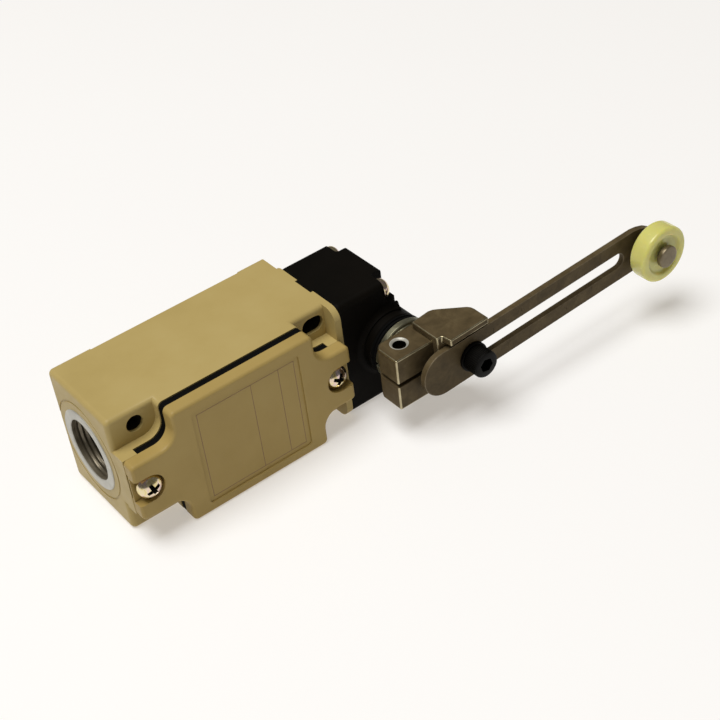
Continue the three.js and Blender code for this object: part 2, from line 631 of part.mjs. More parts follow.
function leverClamp() {
  const hub = rod("y", 0, 0, HUB_RADIUS, CLAMP_FRONT, HUB_BACK, ROUND);
  const jaw = prism("z", points(
    [-12, JAW_BACK - 1.9], [-10.4, JAW_BACK], [12.5, JAW_BACK], [16.6, -49.5],
    [16.6, CLAMP_FRONT], [-12, CLAMP_FRONT],
  ), -CLAMP_HALF, CLAMP_HALF);
  const trim = box(-20, 20, CLAMP_FRONT - 1, JAW_BACK + 0.1, -CLAMP_HALF, CLAMP_HALF);
  const flangeTrim = box(-20, 20, JAW_BACK, HUB_BACK + 1, -12, 12);
  const body = join(hub.intersect(join(trim, flangeTrim)), jaw);
  const bore = rod("y", 0, 0, SHAFT_RADIUS + CLEARANCE, CLAMP_FRONT + 1.2, HUB_BACK + 1, 24);
  const split = box(-13, 0, CLAMP_FRONT - 1, HUB_BACK + 1, -CLAMP_SPLIT / 2, CLAMP_SPLIT / 2);
  const boltHole = rod("z", CLAMP_BOLT_X, CLAMP_BOLT_Y, 2.6, -12, 12);
  const counterbore = rod("z", CLAMP_BOLT_X, CLAMP_BOLT_Y, 4.5, -12, -CLAMP_HALF + 3.4, 24);
  const chamfer = turned([[0, 0.1], [3.2, 0.1], [3.2, 0], [2.6, -0.6], [0, -0.6]],
    [CLAMP_BOLT_X, CLAMP_BOLT_Y, CLAMP_HALF], [0, 0, 1]);
  const turn = THREE.MathUtils.degToRad(ARM_ANGLE);
  const armThread = rod("y", ARM_BOLT * Math.sin(turn), ARM_BOLT * Math.cos(turn), 2.6,
    CLAMP_FRONT - 1, -47.6);
  return cut(body, bore, split, boltHole, counterbore, chamfer, armThread);
}

function clampBolt() {
  return capScrew([CLAMP_BOLT_X, CLAMP_BOLT_Y, -CLAMP_HALF + 3.2], [0, 0, 1], 4.25, 4.6, 2.5, 12.4, 4);
}

// Bent plate on the clamp. Its shelf reaches out over the arm and keeps it straight, and its
// leg is bent down between the clamp and the arm.
function armBracket() {
  const under = CLAMP_HALF + CLEARANCE;
  const top = under + SHEET;
  const legFront = ARM_BACK + CLEARANCE;
  const legBack = CLAMP_FRONT - CLEARANCE;
  const shelf = prism("z", points(
    [BRACKET_START, -47.6], [8, -47.2], [10.5, -48.4], [17.4, -54.4], [BRACKET_END, -56.2],
    [BRACKET_END, -62.5], [BRACKET_START + 1.9, -62.5],
    [BRACKET_START + 1.5, legFront], [BRACKET_START, legFront],
  ), under, top);
  const bend = roundedRectangle(legFront, legBack, -7.2, top, 1.2);
  const leg = prism("x", bend, BRACKET_START, BRACKET_END - 1.8);
  return cut(join(shelf, leg), rod("y", 0, ARM_BOLT, 2.7, ARM_BACK - 1, CLAMP_FRONT + 1));
}

function leverArm() {
  const tip = ROLLER_REACH + 4.9;
  const outline = points(
    [tip - 9.5, ARM_HALF], [tip - 1.2, 4], [tip, 2.4], [tip, -2.4], [tip - 1.2, -4], [tip - 9.5, -ARM_HALF],
  ).concat(arc(ARM_NEAR_CENTRE, 0, ARM_HALF, -90, -270, 12));
  const slot = obround(SLOT_NEAR, SLOT_FAR, 0, ARM_SLOT_HALF);
  const flip = (list) => list.map((point) => new THREE.Vector2(point.y, point.x));
  const plate = prism("y", flip(outline), ARM_FRONT, ARM_BACK, [flip(slot)]);
  return cut(plate, rod("y", 0, ROLLER_REACH, 2.02, ARM_FRONT - 1, ARM_BACK + 1));
}

function armWasher() {
  return tube("y", 0, ARM_BOLT, 4.7, 2.6, ARM_FRONT - CLEARANCE - 1.1, ARM_FRONT - CLEARANCE, 24);
}

function armBolt() {
  return capScrew([ARM_BOLT, ARM_FRONT - 2 * CLEARANCE - 1.1, 0], [0, 1, 0], 4.25, 5, 2.45, 12, 4);
}

// ---------------------------------------------------------------- roller

function rollerPin() {
  return turned([
    [0, 0.2],
    [2.8, 0.2],
    [3, -0.3],
    [2, -0.3],
    [2, PIN_FRONT + 1.6 - ARM_BACK],
    [3.6, PIN_FRONT + 1.6 - ARM_BACK],
    [3.6, PIN_FRONT + 0.3 - ARM_BACK],
    [3.2, PIN_FRONT - ARM_BACK],
    [0, PIN_FRONT - ARM_BACK],
  ].map(([radius, along]) => [radius, along + 0.4]), [ROLLER_REACH, ARM_BACK, 0], [0, 1, 0]);
}

function rollerSpacer() {
  return tube("y", 0, ROLLER_REACH, 3.6, 2.1, ROLLER_BACK + CLEARANCE, ARM_FRONT - CLEARANCE);
}

function roller() {
  const rim = ROLLER_RADIUS;
  const body = turned([
    [0, 0],
    [rim - 0.8, 0],
    [rim, -0.8],
    [rim, ROLLER_FRONT - ROLLER_BACK + 0.8],
    [rim - 0.8, ROLLER_FRONT - ROLLER_BACK],
    [5.6, ROLLER_FRONT - ROLLER_BACK],
    [4.6, ROLLER_FRONT - ROLLER_BACK + 0.9],
    [0, ROLLER_FRONT - ROLLER_BACK + 0.9],
  ], [ROLLER_REACH, ROLLER_BACK, 0], [0, 1, 0], 32);
  return cut(body, rod("y", 0, ROLLER_REACH, 2.1, ROLLER_FRONT - 1, ROLLER_BACK + 1));
}

// ---------------------------------------------------------------- assembly

const limitSwitch = new THREE.Group();

function place(name, body, material, parent = limitSwitch) {
  const mesh = new THREE.Mesh(surface(body), material);
  mesh.name = name;
  parent.add(mesh);
}

place("housing", housing(), BEIGE_PAINT);
place("cover_gasket", coverGasket(), BLACK_RUBBER);
place("cover", cover(), BEIGE_PAINT);
place("cover_screw_conduit_end", coverScrew(COVER_SCREW_X[0], 0.8), ZINC_PLATE);
place("cover_screw_head_end", coverScrew(COVER_SCREW_X[1], 0), ZINC_PLATE);

place("head_housing", headHousing(), BLACK_PAINT);
place("head_seal", headSeal(), BLACK_RUBBER);
const SCREW_PLACES = [["back", HEAD_SCREW_Y[0]], ["front", HEAD_SCREW_Y[1]]];
for (const [depth, y] of SCREW_PLACES) {
  place(`head_screw_upper_${depth}`, headScrew(y, HEAD_SCREW_Z), ZINC_PLATE);
  place(`head_screw_lower_${depth}`, headScrew(y, -HEAD_SCREW_Z), ZINC_PLATE);
}
place("bearing_bush", bearingBush(), BRONZE);
place("shaft_dust_seal", dustSeal(), BLACK_RUBBER);
place("shaft", shaft(), BRIGHT_STEEL);
place("cam", cam(), STEEL);
place("return_spring", returnSpring(), SPRING_STEEL);
place("head_plunger", plunger(), BRIGHT_STEEL);
place("plunger_spring", plungerSpring(), SPRING_STEEL);

place("switch_case", switchCase(), PALE_RESIN);
place("switch_lid", switchLid(), PALE_RESIN);
place("contact_carrier", contactCarrier(), RED_RESIN);
place("contact_bridge_closing", contactBridge(CLOSING_X), SILVER);
place("contact_bridge_opening", contactBridge(OPENING_X), SILVER);
place("contact_spring", contactSpring(), SPRING_STEEL);
const CONTACT_SETS = [
  ["closing", CLOSING_X, TERMINAL_X[0], PLUNGER_TRAVEL + 0.05],
  ["opening", OPENING_X, TERMINAL_X[1], 0.05],
];
for (const [kind, bridgeX, padX, gap] of CONTACT_SETS) {
  for (const [side, z] of [["lower", TERMINAL_Z[0]], ["upper", TERMINAL_Z[1]]]) {
    place(`terminal_${kind}_${side}`, terminal(bridgeX, padX, z, gap), BRASS);
    place(`terminal_screw_${kind}_${side}`, terminalScrew(padX, z), ZINC_PLATE);
  }
}
place("block_screw_lower", blockScrew(BLOCK_SCREW_Z[0]), ZINC_PLATE);
place("block_screw_upper", blockScrew(BLOCK_SCREW_Z[1]), ZINC_PLATE);
place("ground_screw", groundScrew(), GREEN_PAINT);
place("ground_washer", groundWasher(), ZINC_PLATE);

// The lever is clamped on the shaft. Its arm is bolted on turned up a little from the X axis.
const lever = new THREE.Group();
lever.position.set(SHAFT_X, 0, 0);
limitSwitch.add(lever);
place("lever_clamp", leverClamp(), STEEL, lever);
place("clamp_bolt", clampBolt(), BLACK_STEEL, lever);

const arm = new THREE.Group();
arm.rotation.y = -THREE.MathUtils.degToRad(ARM_ANGLE);
lever.add(arm);
place("arm_bracket", armBracket(), STEEL, arm);
place("lever_arm", leverArm(), STEEL, arm);
place("arm_washer", armWasher(), BLACK_STEEL, arm);
place("arm_bolt", armBolt(), BLACK_STEEL, arm);
place("roller_pin", rollerPin(), STEEL, arm);
place("roller_spacer", rollerSpacer(), STEEL, arm);
place("roller", roller(), NYLON, arm);

export default limitSwitch;
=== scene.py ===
"""Looks of a roller lever limit switch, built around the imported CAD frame.

Lengths are millimetres in the helpers and become metres when a piece is finished. X runs from
the conduit entry to the head and the roller, -Y points out of the cover, +Z is up.
"""

import json
import math

import bmesh
import bpy
from mathutils import Matrix, Vector


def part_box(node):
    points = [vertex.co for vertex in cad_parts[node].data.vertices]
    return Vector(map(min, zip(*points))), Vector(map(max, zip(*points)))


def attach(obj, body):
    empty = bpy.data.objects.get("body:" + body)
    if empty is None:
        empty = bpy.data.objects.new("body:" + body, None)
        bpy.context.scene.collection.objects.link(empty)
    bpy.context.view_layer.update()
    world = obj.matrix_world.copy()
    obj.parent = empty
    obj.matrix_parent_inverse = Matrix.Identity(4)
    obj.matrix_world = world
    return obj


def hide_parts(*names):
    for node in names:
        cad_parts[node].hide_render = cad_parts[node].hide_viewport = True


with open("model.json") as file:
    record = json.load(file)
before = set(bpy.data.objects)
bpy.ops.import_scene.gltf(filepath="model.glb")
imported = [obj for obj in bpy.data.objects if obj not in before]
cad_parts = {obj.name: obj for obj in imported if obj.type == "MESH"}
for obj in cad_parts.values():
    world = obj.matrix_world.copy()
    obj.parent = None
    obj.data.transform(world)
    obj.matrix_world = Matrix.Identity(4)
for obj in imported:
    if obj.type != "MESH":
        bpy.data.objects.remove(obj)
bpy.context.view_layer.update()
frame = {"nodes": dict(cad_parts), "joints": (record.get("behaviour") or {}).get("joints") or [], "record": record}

MM = 0.001
PAST = 1                              # how far a cutting tool passes the surface it cuts
WELD = 0.002                          # points closer than this are one point
NEAR = 0.02                           # an edge this close to a plane counts as in it
FLAT = math.radians(0.8)              # faces that turn less than this are one face
scene = bpy.context.scene


def box_mm(node):
    """Lowest and highest corner of a CAD node, in millimetres."""
    low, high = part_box(node)
    return low / MM, high / MM


# ------------------------------------------------------------------ places from the frame

HOUSING_LOW, HOUSING_HIGH = box_mm("housing")
COVER_LOW, COVER_HIGH = box_mm("cover")
GASKET_HIGH = box_mm("cover_gasket")[1]
HEAD_HIGH = box_mm("head_housing")[1]
SHAFT_LOW, SHAFT_HIGH = box_mm("shaft")
SEAL_HIGH = box_mm("shaft_dust_seal")[1]
ARM_LOW, ARM_HIGH = box_mm("lever_arm")
ROLLER_LOW, ROLLER_HIGH = box_mm("roller")
PIN_LOW, PIN_HIGH = box_mm("roller_pin")
SPACER_LOW, SPACER_HIGH = box_mm("roller_spacer")
WASHER_LOW, WASHER_HIGH = box_mm("arm_washer")
CLAMP_LOW, CLAMP_HIGH = box_mm("lever_clamp")

JOINTS = {joint["name"]: joint for joint in frame["joints"]}
ARM_AXIS = Vector(JOINTS["arm_slide"]["axis"])
ARM_ANGLE = math.atan2(ARM_AXIS.z, ARM_AXIS.x)
SHAFT_X = (SHAFT_LOW.x + SHAFT_HIGH.x) / 2

HALF_WIDTH = HOUSING_HIGH.z
RING_RISE = 0.3                       # bare conduit ring, proud of the end face
CONDUIT_FACE = HOUSING_LOW.x + RING_RISE
HEAD_END = HOUSING_HIGH.x
LIP_FRONT = HOUSING_LOW.y
RIM_FRONT = GASKET_HIGH.y
COVER_BACK = COVER_HIGH.y
COVER_FRONT = COVER_LOW.y

# Shapes that the boxes don't give, in millimetres.
POCKET_FLOOR = -32.2
NECK_HALF = 9.8                       # half width of the narrow ends of rim, gasket and cover
WIDE_START = CONDUIT_FACE + 14.7
WIDE_END = CONDUIT_FACE + 62
WIDE_CORNER = 1.6
POCKET_RADIUS = 5
RIM_DROP = 0.35                       # how far the painted rim stops short of the gasket
PAINTED_RIM = RIM_FRONT + RIM_DROP
CONDUIT_LIP = 4.7                     # length of the tips that flank the gasket
HEAD_LIP = 5.6
FLANGE_DEPTH = 2.1
FLANGE_BACK = -5.5
FLANGE_CORNER = 3.8
CASTING_ROUND = 1.3
EDGE_ROUND = 0.3
BACK_RELIEF = 1.2
HOLE_ROW = 15
HOLE_RADIUS = 2.65
SLOT_X = 60
SLOT_EXTRA = 1
LIT_BORE = POCKET_FLOOR + 1.2         # past this depth a mounting hole is in shadow
CONDUIT_AXIS = -15.8
CONDUIT_RADIUS = 9.6
RING_RADIUS = 12.8
CAVITY_START = CONDUIT_FACE + 17
CAVITY_END = CONDUIT_FACE + 60
CAVITY_HALF = 17.2
CAVITY_FLOOR = -3.6
PLUNGER_Y = -21
PLUNGER_BORE = 2.6
SPIGOT_RADIUS = 11.4                  # round seat in the housing's end for the head
SPIGOT_DEPTH = 2.4
KEY_LOW = -24.8                       # the head's two keys, which sit in notches of the housing
KEY_HIGH = -17.2
KEY_START = 17.1
KEY_DEPTH = 0.8
KEY_GAP = 0.1
COVER_SCREW_X = (CONDUIT_FACE + 4.7, CONDUIT_FACE + 68.8)
COVER_SCREW_HEAD = 3.5
NOTCH_RADIUS = 4.4                    # the cover's open notch round each screw
NOTCH_SHIFT = 0.25
NOTCH_FLOOR = -38.7
COVER_ROUND = 1.0
LABEL_DEPTH = 0.4
LABEL = (CONDUIT_FACE + 20.6, CONDUIT_FACE + 56.4, -16.8, 16.6)
LABEL_CORNER = 1.2


# ------------------------------------------------------------------ outlines

def arc(cx, cy, radius, start, end, steps):
    """Points on a round stretch, angles in degrees."""
    points = []
    for i in range(steps + 1):
        angle = math.radians(start + (end - start) * i / steps)
        points.append((cx + radius * math.cos(angle), cy + radius * math.sin(angle)))
    return points


def circle(cx, cy, radius, sides=64):
    """The corners of a regular polygon that stands in for a circle."""
    return arc(cx, cy, radius, 0, 360 * (sides - 1) / sides, sides - 1)


def rounded_rectangle(u0, u1, v0, v1, radius):
    """A rectangle with round corners."""
    steps = 8
    return (arc(u1 - radius, v0 + radius, radius, -90, 0, steps)
            + arc(u1 - radius, v1 - radius, radius, 0, 90, steps)
            + arc(u0 + radius, v1 - radius, radius, 90, 180, steps)
            + arc(u0 + radius, v0 + radius, radius, 180, 270, steps))


def obround(u0, u1, v, radius, steps=24):
    """A slot between two round ends."""
    return arc(u1, v, radius, -90, 90, steps) + arc(u0, v, radius, 90, 270, steps)


def flipped(outline):
    """The same outline with its two directions swapped."""
    return [(v, u) for u, v in reversed(outline)]


def waisted(start, end, inset=0.0, tip=0.01):
    """Outline in (z, x) of the rim, gasket and cover: wide in the middle, narrow at the ends."""
    neck = NECK_HALF - inset
    half = HALF_WIDTH - inset
    wide_start = WIDE_START + inset
    wide_end = WIDE_END - inset
    tool = POCKET_RADIUS + inset
    corner = WIDE_CORNER - inset
    right = (arc(neck - tip, start + tip, tip, -90, 0, 4)
             + arc(neck + tool, wide_start - tool, tool, 180, 90, 14)
             + arc(half - corner, wide_start + corner, corner, -90, 0, 6)
             + arc(half - corner, wide_end - corner, corner, 0, 90, 6)
             + arc(neck + tool, wide_end + tool, tool, -90, -180, 14)
             + arc(neck - tip, end - tip, tip, 0, 90, 4))
    left = [(-z, x) for z, x in reversed(right)]
    return right + left


# ------------------------------------------------------------------ solids, in millimetres

def object_from(bm):
    """Turns a finished bmesh into an object."""
    bmesh.ops.recalc_face_normals(bm, faces=bm.faces)
    mesh = bpy.data.meshes.new("tool")
    bm.to_mesh(mesh)
    bm.free()
    made = bpy.data.objects.new("tool", mesh)
    scene.collection.objects.link(made)
    return made


def axis_point(axis, u, v, along):
    """A point from its two drawing directions and its distance along the axis."""
    if axis == "x":
        return Vector((along, u, v))
    if axis == "y":
        return Vector((v, along, u))
    return Vector((u, v, along))


def bridge(bm, first, second):
    """Joins two rings of vertices with a band of faces."""
    count = len(first)
    for i in range(count):
        j = (i + 1) % count
        bm.faces.new((first[i], first[j], second[j], second[i]))


def lofted(outlines):
    """A solid through outlines with the same number of points, closed at both ends."""
    bm = bmesh.new()
    rings = [[bm.verts.new(point) for point in outline] for outline in outlines]
    for first, second in zip(rings, rings[1:]):
        bridge(bm, first, second)
    bm.faces.new(rings[0])
    bm.faces.new(rings[-1])
    return object_from(bm)


def prism(axis, outline, low, high):
    """An outline extruded along an axis: (y, z) along x, (z, x) along y, (x, y) along z."""
    return lofted([[axis_point(axis, u, v, along) for u, v in outline] for along in (low, high)])


def block(x0, x1, y0, y1, z0, z1, rounding=0.0):
    """A box, with every edge rounded if a rounding is given."""
    bm = bmesh.new()
    size = Vector((x1 - x0, y1 - y0, z1 - z0))
    middle = Vector((x1 + x0, y1 + y0, z1 + z0)) / 2
    bmesh.ops.create_cube(bm, size=1, matrix=Matrix.Translation(middle) @ Matrix.Diagonal((*size, 1)))
    if rounding:
        bmesh.ops.bevel(bm, geom=bm.edges[:], offset=rounding, segments=4, affect="EDGES",
                        profile=0.5)
    return object_from(bm)


def rod(axis, cx, cy, radius, low, high, sides=64):
    """A round bar along an axis. Its centre is given in the axis's own drawing directions."""
    return prism(axis, circle(cx, cy, radius, sides), low, high)


def turned(profile, start, direction, sides=64):
    """A solid of revolution. The profile is (radius, distance) pairs and closes on itself or
    starts and ends on the axis."""
    along = Vector(direction).normalized()
    side = along.orthogonal().normalized()
    other = along.cross(side)
    bm = bmesh.new()
    rings = []
    for radius, distance in profile:
        centre = Vector(start) + along * distance
        if radius < 1e-6:
            rings.append([bm.verts.new(centre)])
            continue
        ring = []
        for i in range(sides):
            angle = 2 * math.pi * i / sides
            ring.append(bm.verts.new(centre + (side * math.cos(angle) + other * math.sin(angle)) * radius))
        rings.append(ring)
    closed = len(rings[0]) > 1
    pairs = list(zip(rings, rings[1:] + rings[:1])) if closed else list(zip(rings, rings[1:]))
    for first, second in pairs:
        for i in range(sides):
            j = (i + 1) % sides
            corners = [first[i % len(first)], first[j % len(first)],
                       second[j % len(second)], second[i % len(second)]]
            unique = list(dict.fromkeys(corners))
            if len(unique) > 2:
                bm.faces.new(unique)
    return object_from(bm)


def bake(made):
    """Replaces an object's mesh by what its modifiers make of it."""
    graph = bpy.context.evaluated_depsgraph_get()
    mesh = bpy.data.meshes.new_from_object(made.evaluated_get(graph))
    old = made.data
    made.modifiers.clear()
    made.data = mesh
    bpy.data.meshes.remove(old)
    return made


def boolean(operation, body, tools):
    """Combines a body with its tools, which are used up."""
    for tool in tools:
        modifier = body.modifiers.new("boolean", "BOOLEAN")
        modifier.operation = operation
        modifier.solver = "EXACT"
        modifier.object = tool
    bake(body)
    for tool in tools:
        bpy.data.objects.remove(tool)
    return body


def cut(body, *tools):
    """Takes the tools out of a body."""
    return boolean("DIFFERENCE", body, tools)


def join(body, *others):
    """Makes one solid of several."""
    return boolean("UNION", body, others)


def common(body, *others):
    """Keeps only what the body shares with the others."""
    return boolean("INTERSECT", body, others)


def soften(body, width, segments=3, angle=32, mark=False, sharp_y=()):
    """Rounds every sharp edge by a width, but for the edges in the planes at sharp_y. Marked
    roundings go in the second material slot."""
    bm = bmesh.new()
    bm.from_mesh(body.data)
    bmesh.ops.remove_doubles(bm, verts=bm.verts, dist=WELD)
    bmesh.ops.dissolve_limit(bm, angle_limit=FLAT, verts=bm.verts, edges=bm.edges)
    weight = bm.edges.layers.float.new("bevel_weight_edge")
    for edge in bm.edges:
        kept = any(all(abs(vertex.co.y - y) < NEAR for vertex in edge.verts) for y in sharp_y)
        edge[weight] = float(edge.calc_face_angle(0.0) > math.radians(angle) and not kept)
    bm.to_mesh(body.data)
    bm.free()
    modifier = body.modifiers.new("edges", "BEVEL")
    modifier.width = width
    modifier.segments = segments
    modifier.limit_method = "WEIGHT"
    modifier.use_clamp_overlap = True
    modifier.miter_outer = "MITER_ARC"
    if mark:
        body.data.materials.append(None)
        body.data.materials.append(None)
        modifier.material = 1
    return bake(body)


def second_slot(body, chosen):
    """Puts the faces that a test picks in the second material slot."""
    for polygon in body.data.polygons:
        polygon.material_index = int(chosen(polygon))


ON_SHAFT = Matrix.Translation((SHAFT_X * MM, 0, 0))
ON_ARM = ON_SHAFT @ Matrix.Rotation(-ARM_ANGLE, 4, "Y")


def finish(made, name, material, body, nodes=(), place=None, smooth=40, second=None):
    """Scales a piece to metres, names it, paints it and lets it ride on its body. It replaces
    its CAD nodes."""
    mesh = made.data
    slots = [polygon.material_index for polygon in mesh.polygons]
    mesh.transform(Matrix.Scale(MM, 4))
    if place:
        mesh.transform(place)
    made.name = name
    mesh.name = name
    mesh.materials.clear()
    mesh.materials.append(material)
    if second:
        mesh.materials.append(second)
        for polygon, index in zip(mesh.polygons, slots):
            polygon.material_index = index
    mesh.shade_smooth()
    mesh.set_sharp_from_angle(angle=math.radians(smooth))
    weighted = made.modifiers.new("normals", "WEIGHTED_NORMAL")
    weighted.keep_sharp = True
    weighted.weight = 100
    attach(made, body)
    if nodes:
        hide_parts(*nodes)
    return made


# ------------------------------------------------------------------ materials

def srgb(code):
    """Linear colour of a hexadecimal sRGB code."""
    values = [int(code[i:i + 2], 16) / 255 for i in (0, 2, 4)]
    return tuple(v / 12.92 if v <= 0.04045 else ((v + 0.055) / 1.055) ** 2.4 for v in values) + (1.0,)


class Finish:
    """A node material under construction. Textures use object coordinates, in metres."""

    def __init__(self, name, metallic=0.0):
        self.material = bpy.data.materials.new(name)
        self.material.use_nodes = True
        self.tree = self.material.node_tree
        self.shader = self.tree.nodes["Principled BSDF"]
        self.shader.inputs["Metallic"].default_value = metallic
        self.place = self.tree.nodes.new("ShaderNodeTexCoord").outputs["Object"]

    def set(self, **values):
        """Sets sockets of the shader by name, with underscores for spaces."""
        for name, value in values.items():
            self.shader.inputs[name.replace("_", " ")].default_value = value
        return self

    def stretched(self, scale):
        """Coordinates squeezed along each axis, for brushed grain."""
        mapping = self.tree.nodes.new("ShaderNodeMapping")
        mapping.inputs["Scale"].default_value = scale
        self.tree.links.new(self.place, mapping.inputs["Vector"])
        return mapping.outputs["Vector"]

    def noise(self, scale, detail=4.0, roughness=0.55, distortion=0.0, place=None):
        """Grey noise. A larger scale makes finer grain."""
        texture = self.tree.nodes.new("ShaderNodeTexNoise")
        texture.inputs["Scale"].default_value = scale
        texture.inputs["Detail"].default_value = detail
        texture.inputs["Roughness"].default_value = roughness
        texture.inputs["Distortion"].default_value = distortion
        self.tree.links.new(place or self.place, texture.inputs["Vector"])
        return texture.outputs["Fac"]

    def ramp(self, value, *stops):
        """Colour ramp from (position, colour) pairs."""
        ramp = self.tree.nodes.new("ShaderNodeValToRGB")
        elements = ramp.color_ramp.elements
        while len(elements) < len(stops):
            elements.new(0.5)
        for element, (position, colour) in zip(elements, stops):
            element.position = position
            element.color = colour
        self.tree.links.new(value, ramp.inputs["Fac"])
        return ramp.outputs["Color"]

    def spread(self, value, low, high, from_low=0.3, from_high=0.7):
        """Maps a value to a range."""
        spread = self.tree.nodes.new("ShaderNodeMapRange")
        spread.inputs["From Min"].default_value = from_low
        spread.inputs["From Max"].default_value = from_high
        spread.inputs["To Min"].default_value = low
        spread.inputs["To Max"].default_value = high
        self.tree.links.new(value, spread.inputs["Value"])
        return spread.outputs["Result"]

    def math(self, operation, first, second):
        """Sum or product of two values, each a number or a socket."""
        made = self.tree.nodes.new("ShaderNodeMath")
        made.operation = operation
        for socket, value in zip(made.inputs, (first, second)):
            if isinstance(value, (int, float)):
                socket.default_value = value
            else:
                self.tree.links.new(value, socket)
        return made.outputs["Value"]

    def mix(self, factor, first, second):
        """Blend of two colours."""
        made = self.tree.nodes.new("ShaderNodeMix")
        made.data_type = "RGBA"
        sockets = (made.inputs["Factor"], made.inputs[6], made.inputs[7])
        for socket, value in zip(sockets, (factor, first, second)):
            if isinstance(value, (int, float, tuple)):
                socket.default_value = value
            else:
                self.tree.links.new(value, socket)
        return made.outputs[2]

    def colour(self, value):
        """Drives the base colour."""
        self.tree.links.new(value, self.shader.inputs["Base Color"])
        return self

    def roughness(self, value):
        """Drives the roughness."""
        self.tree.links.new(value, self.shader.inputs["Roughness"])
        return self

    def bump(self, height, distance, strength=0.5):
        """Fine surface relief, its depth in metres."""
        bump = self.tree.nodes.new("ShaderNodeBump")
        bump.inputs["Distance"].default_value = distance
        bump.inputs["Strength"].default_value = strength
        self.tree.links.new(height, bump.inputs["Height"])
        self.tree.links.new(bump.outputs["Normal"], self.shader.inputs["Normal"])
        return self


def paint(name, light, middle, dark, gloss=(0.38, 0.5), specular=0.3):
    """Stoved paint on a casting: orange peel, faint cloudiness and dust specks."""
    made = Finish(name)
    cloud = made.noise(38, 4, 0.55)
    base = made.ramp(cloud, (0.3, srgb(dark)), (0.5, srgb(middle)), (0.7, srgb(light)))
    speck = made.ramp(made.noise(2600, 2, 0.5), (0.68, (0, 0, 0, 1)), (0.74, (1, 1, 1, 1)))
    made.colour(made.mix(made.math("MULTIPLY", speck, 0.18), base, srgb(dark)))
    made.roughness(made.spread(made.noise(260, 4, 0.6), *gloss))
    peel = made.noise(1700, 2, 0.45)
    made.bump(made.math("ADD", peel, made.math("MULTIPLY", cloud, 0.4)), 0.00003)
    return made.set(Specular_IOR_Level=specular).material


def steel(name, light, middle, dark, grain=(1400, 60, 1400), gloss=(0.3, 0.48), metallic=1.0,
          specular=0.5):
    """Bare or plated metal: mottled tone and fine drawn grain."""
    made = Finish(name, metallic)
    cloud = made.noise(210, 6, 0.62, 0.4)
    base = made.ramp(cloud, (0.3, srgb(dark)), (0.52, srgb(middle)), (0.74, srgb(light)))
    lines = made.noise(1.0, 4, 0.6, 0.0, made.stretched(grain))
    made.colour(made.mix(made.spread(lines, 0.0, 0.35, 0.35, 0.75), base, srgb(dark)))
    made.roughness(made.spread(made.math("ADD", made.math("MULTIPLY", lines, 0.5),
                                         made.math("MULTIPLY", cloud, 0.5)), *gloss))
    made.bump(made.math("ADD", lines, made.math("MULTIPLY", cloud, 0.5)), 0.00001)
    return made.set(Specular_IOR_Level=specular).material


def plastic(name, light, dark, gloss=(0.35, 0.5), grain=1800, grain_depth=0.00001, subsurface=0.0,
            specular=0.5):
    """Moulded resin with a faint flow pattern and fine surface grain."""
    made = Finish(name)
    flow = made.noise(120, 4, 0.6, 0.8)
    made.colour(made.ramp(flow, (0.3, srgb(dark)), (0.7, srgb(light))))
    made.roughness(made.spread(made.noise(500, 4, 0.6), *gloss))
    made.bump(made.noise(grain, 3, 0.5), grain_depth)
    if subsurface:
        made.set(Subsurface_Weight=subsurface, Subsurface_Scale=0.004,
                 Subsurface_Radius=(1.0, 0.8, 0.2))
    return made.set(Specular_IOR_Level=specular).material


def iridescent_zinc(name):
    """Bright zinc plate whose thin chromate film shifts between straw, pink and blue grey."""
    made = Finish(name, 1.0)
    film = made.noise(300, 3, 0.6, 1.2)
    made.colour(made.ramp(film, (0.3, srgb("d9c27c")), (0.45, srgb("e6d9ae")), (0.58, srgb("e2c6c2")),
                          (0.7, srgb("c9ccd4"))))
    made.roughness(made.spread(made.noise(900, 4, 0.6), 0.14, 0.28))
    made.bump(made.noise(2200, 3, 0.5), 0.00001, 0.4)
    return made.material


BEIGE = paint("beige_paint", "b5a168", "b19c62", "ab965c", specular=0.25)
# Painted shade: a darker, warmer copy of the beige paint for the cover, which faces away from the lamp.
COVER_BEIGE_SHADED = paint("beige_paint_with_cover_shade", "ab9459", "a78f54", "a1894e", specular=0.2)
# Painted shade: a dark copy of the beige paint for the deep walls of the mounting holes.
BORE_PAINTED_SHADE = paint("bore_painted_shade", "2c281c", "262217", "1f1c12")
BLACK_PAINT = paint("black_paint", "0f0c08", "0b0906", "080604", gloss=(0.5, 0.62), specular=0.05)
RUBBER = plastic("black_rubber", "070706", "030303", gloss=(0.7, 0.82), specular=0.08, grain=2400,
                 grain_depth=0.00003)
BRONZED = steel("bronzed_steel", "685b41", "594c35", "493e2a", gloss=(0.4, 0.55), metallic=0.05,
                specular=0.08)
# Lighter steel for the arm's rounded edges: partly edge wear, partly painted highlight where the edges catch the
# lamp and the floor.
ARM_EDGE_WEAR_AND_HIGHLIGHT = steel("arm_edge_wear_and_highlight", "7f7159", "6e614a", "5b4f3b", gloss=(0.34, 0.46), metallic=0.4,
             specular=0.3)
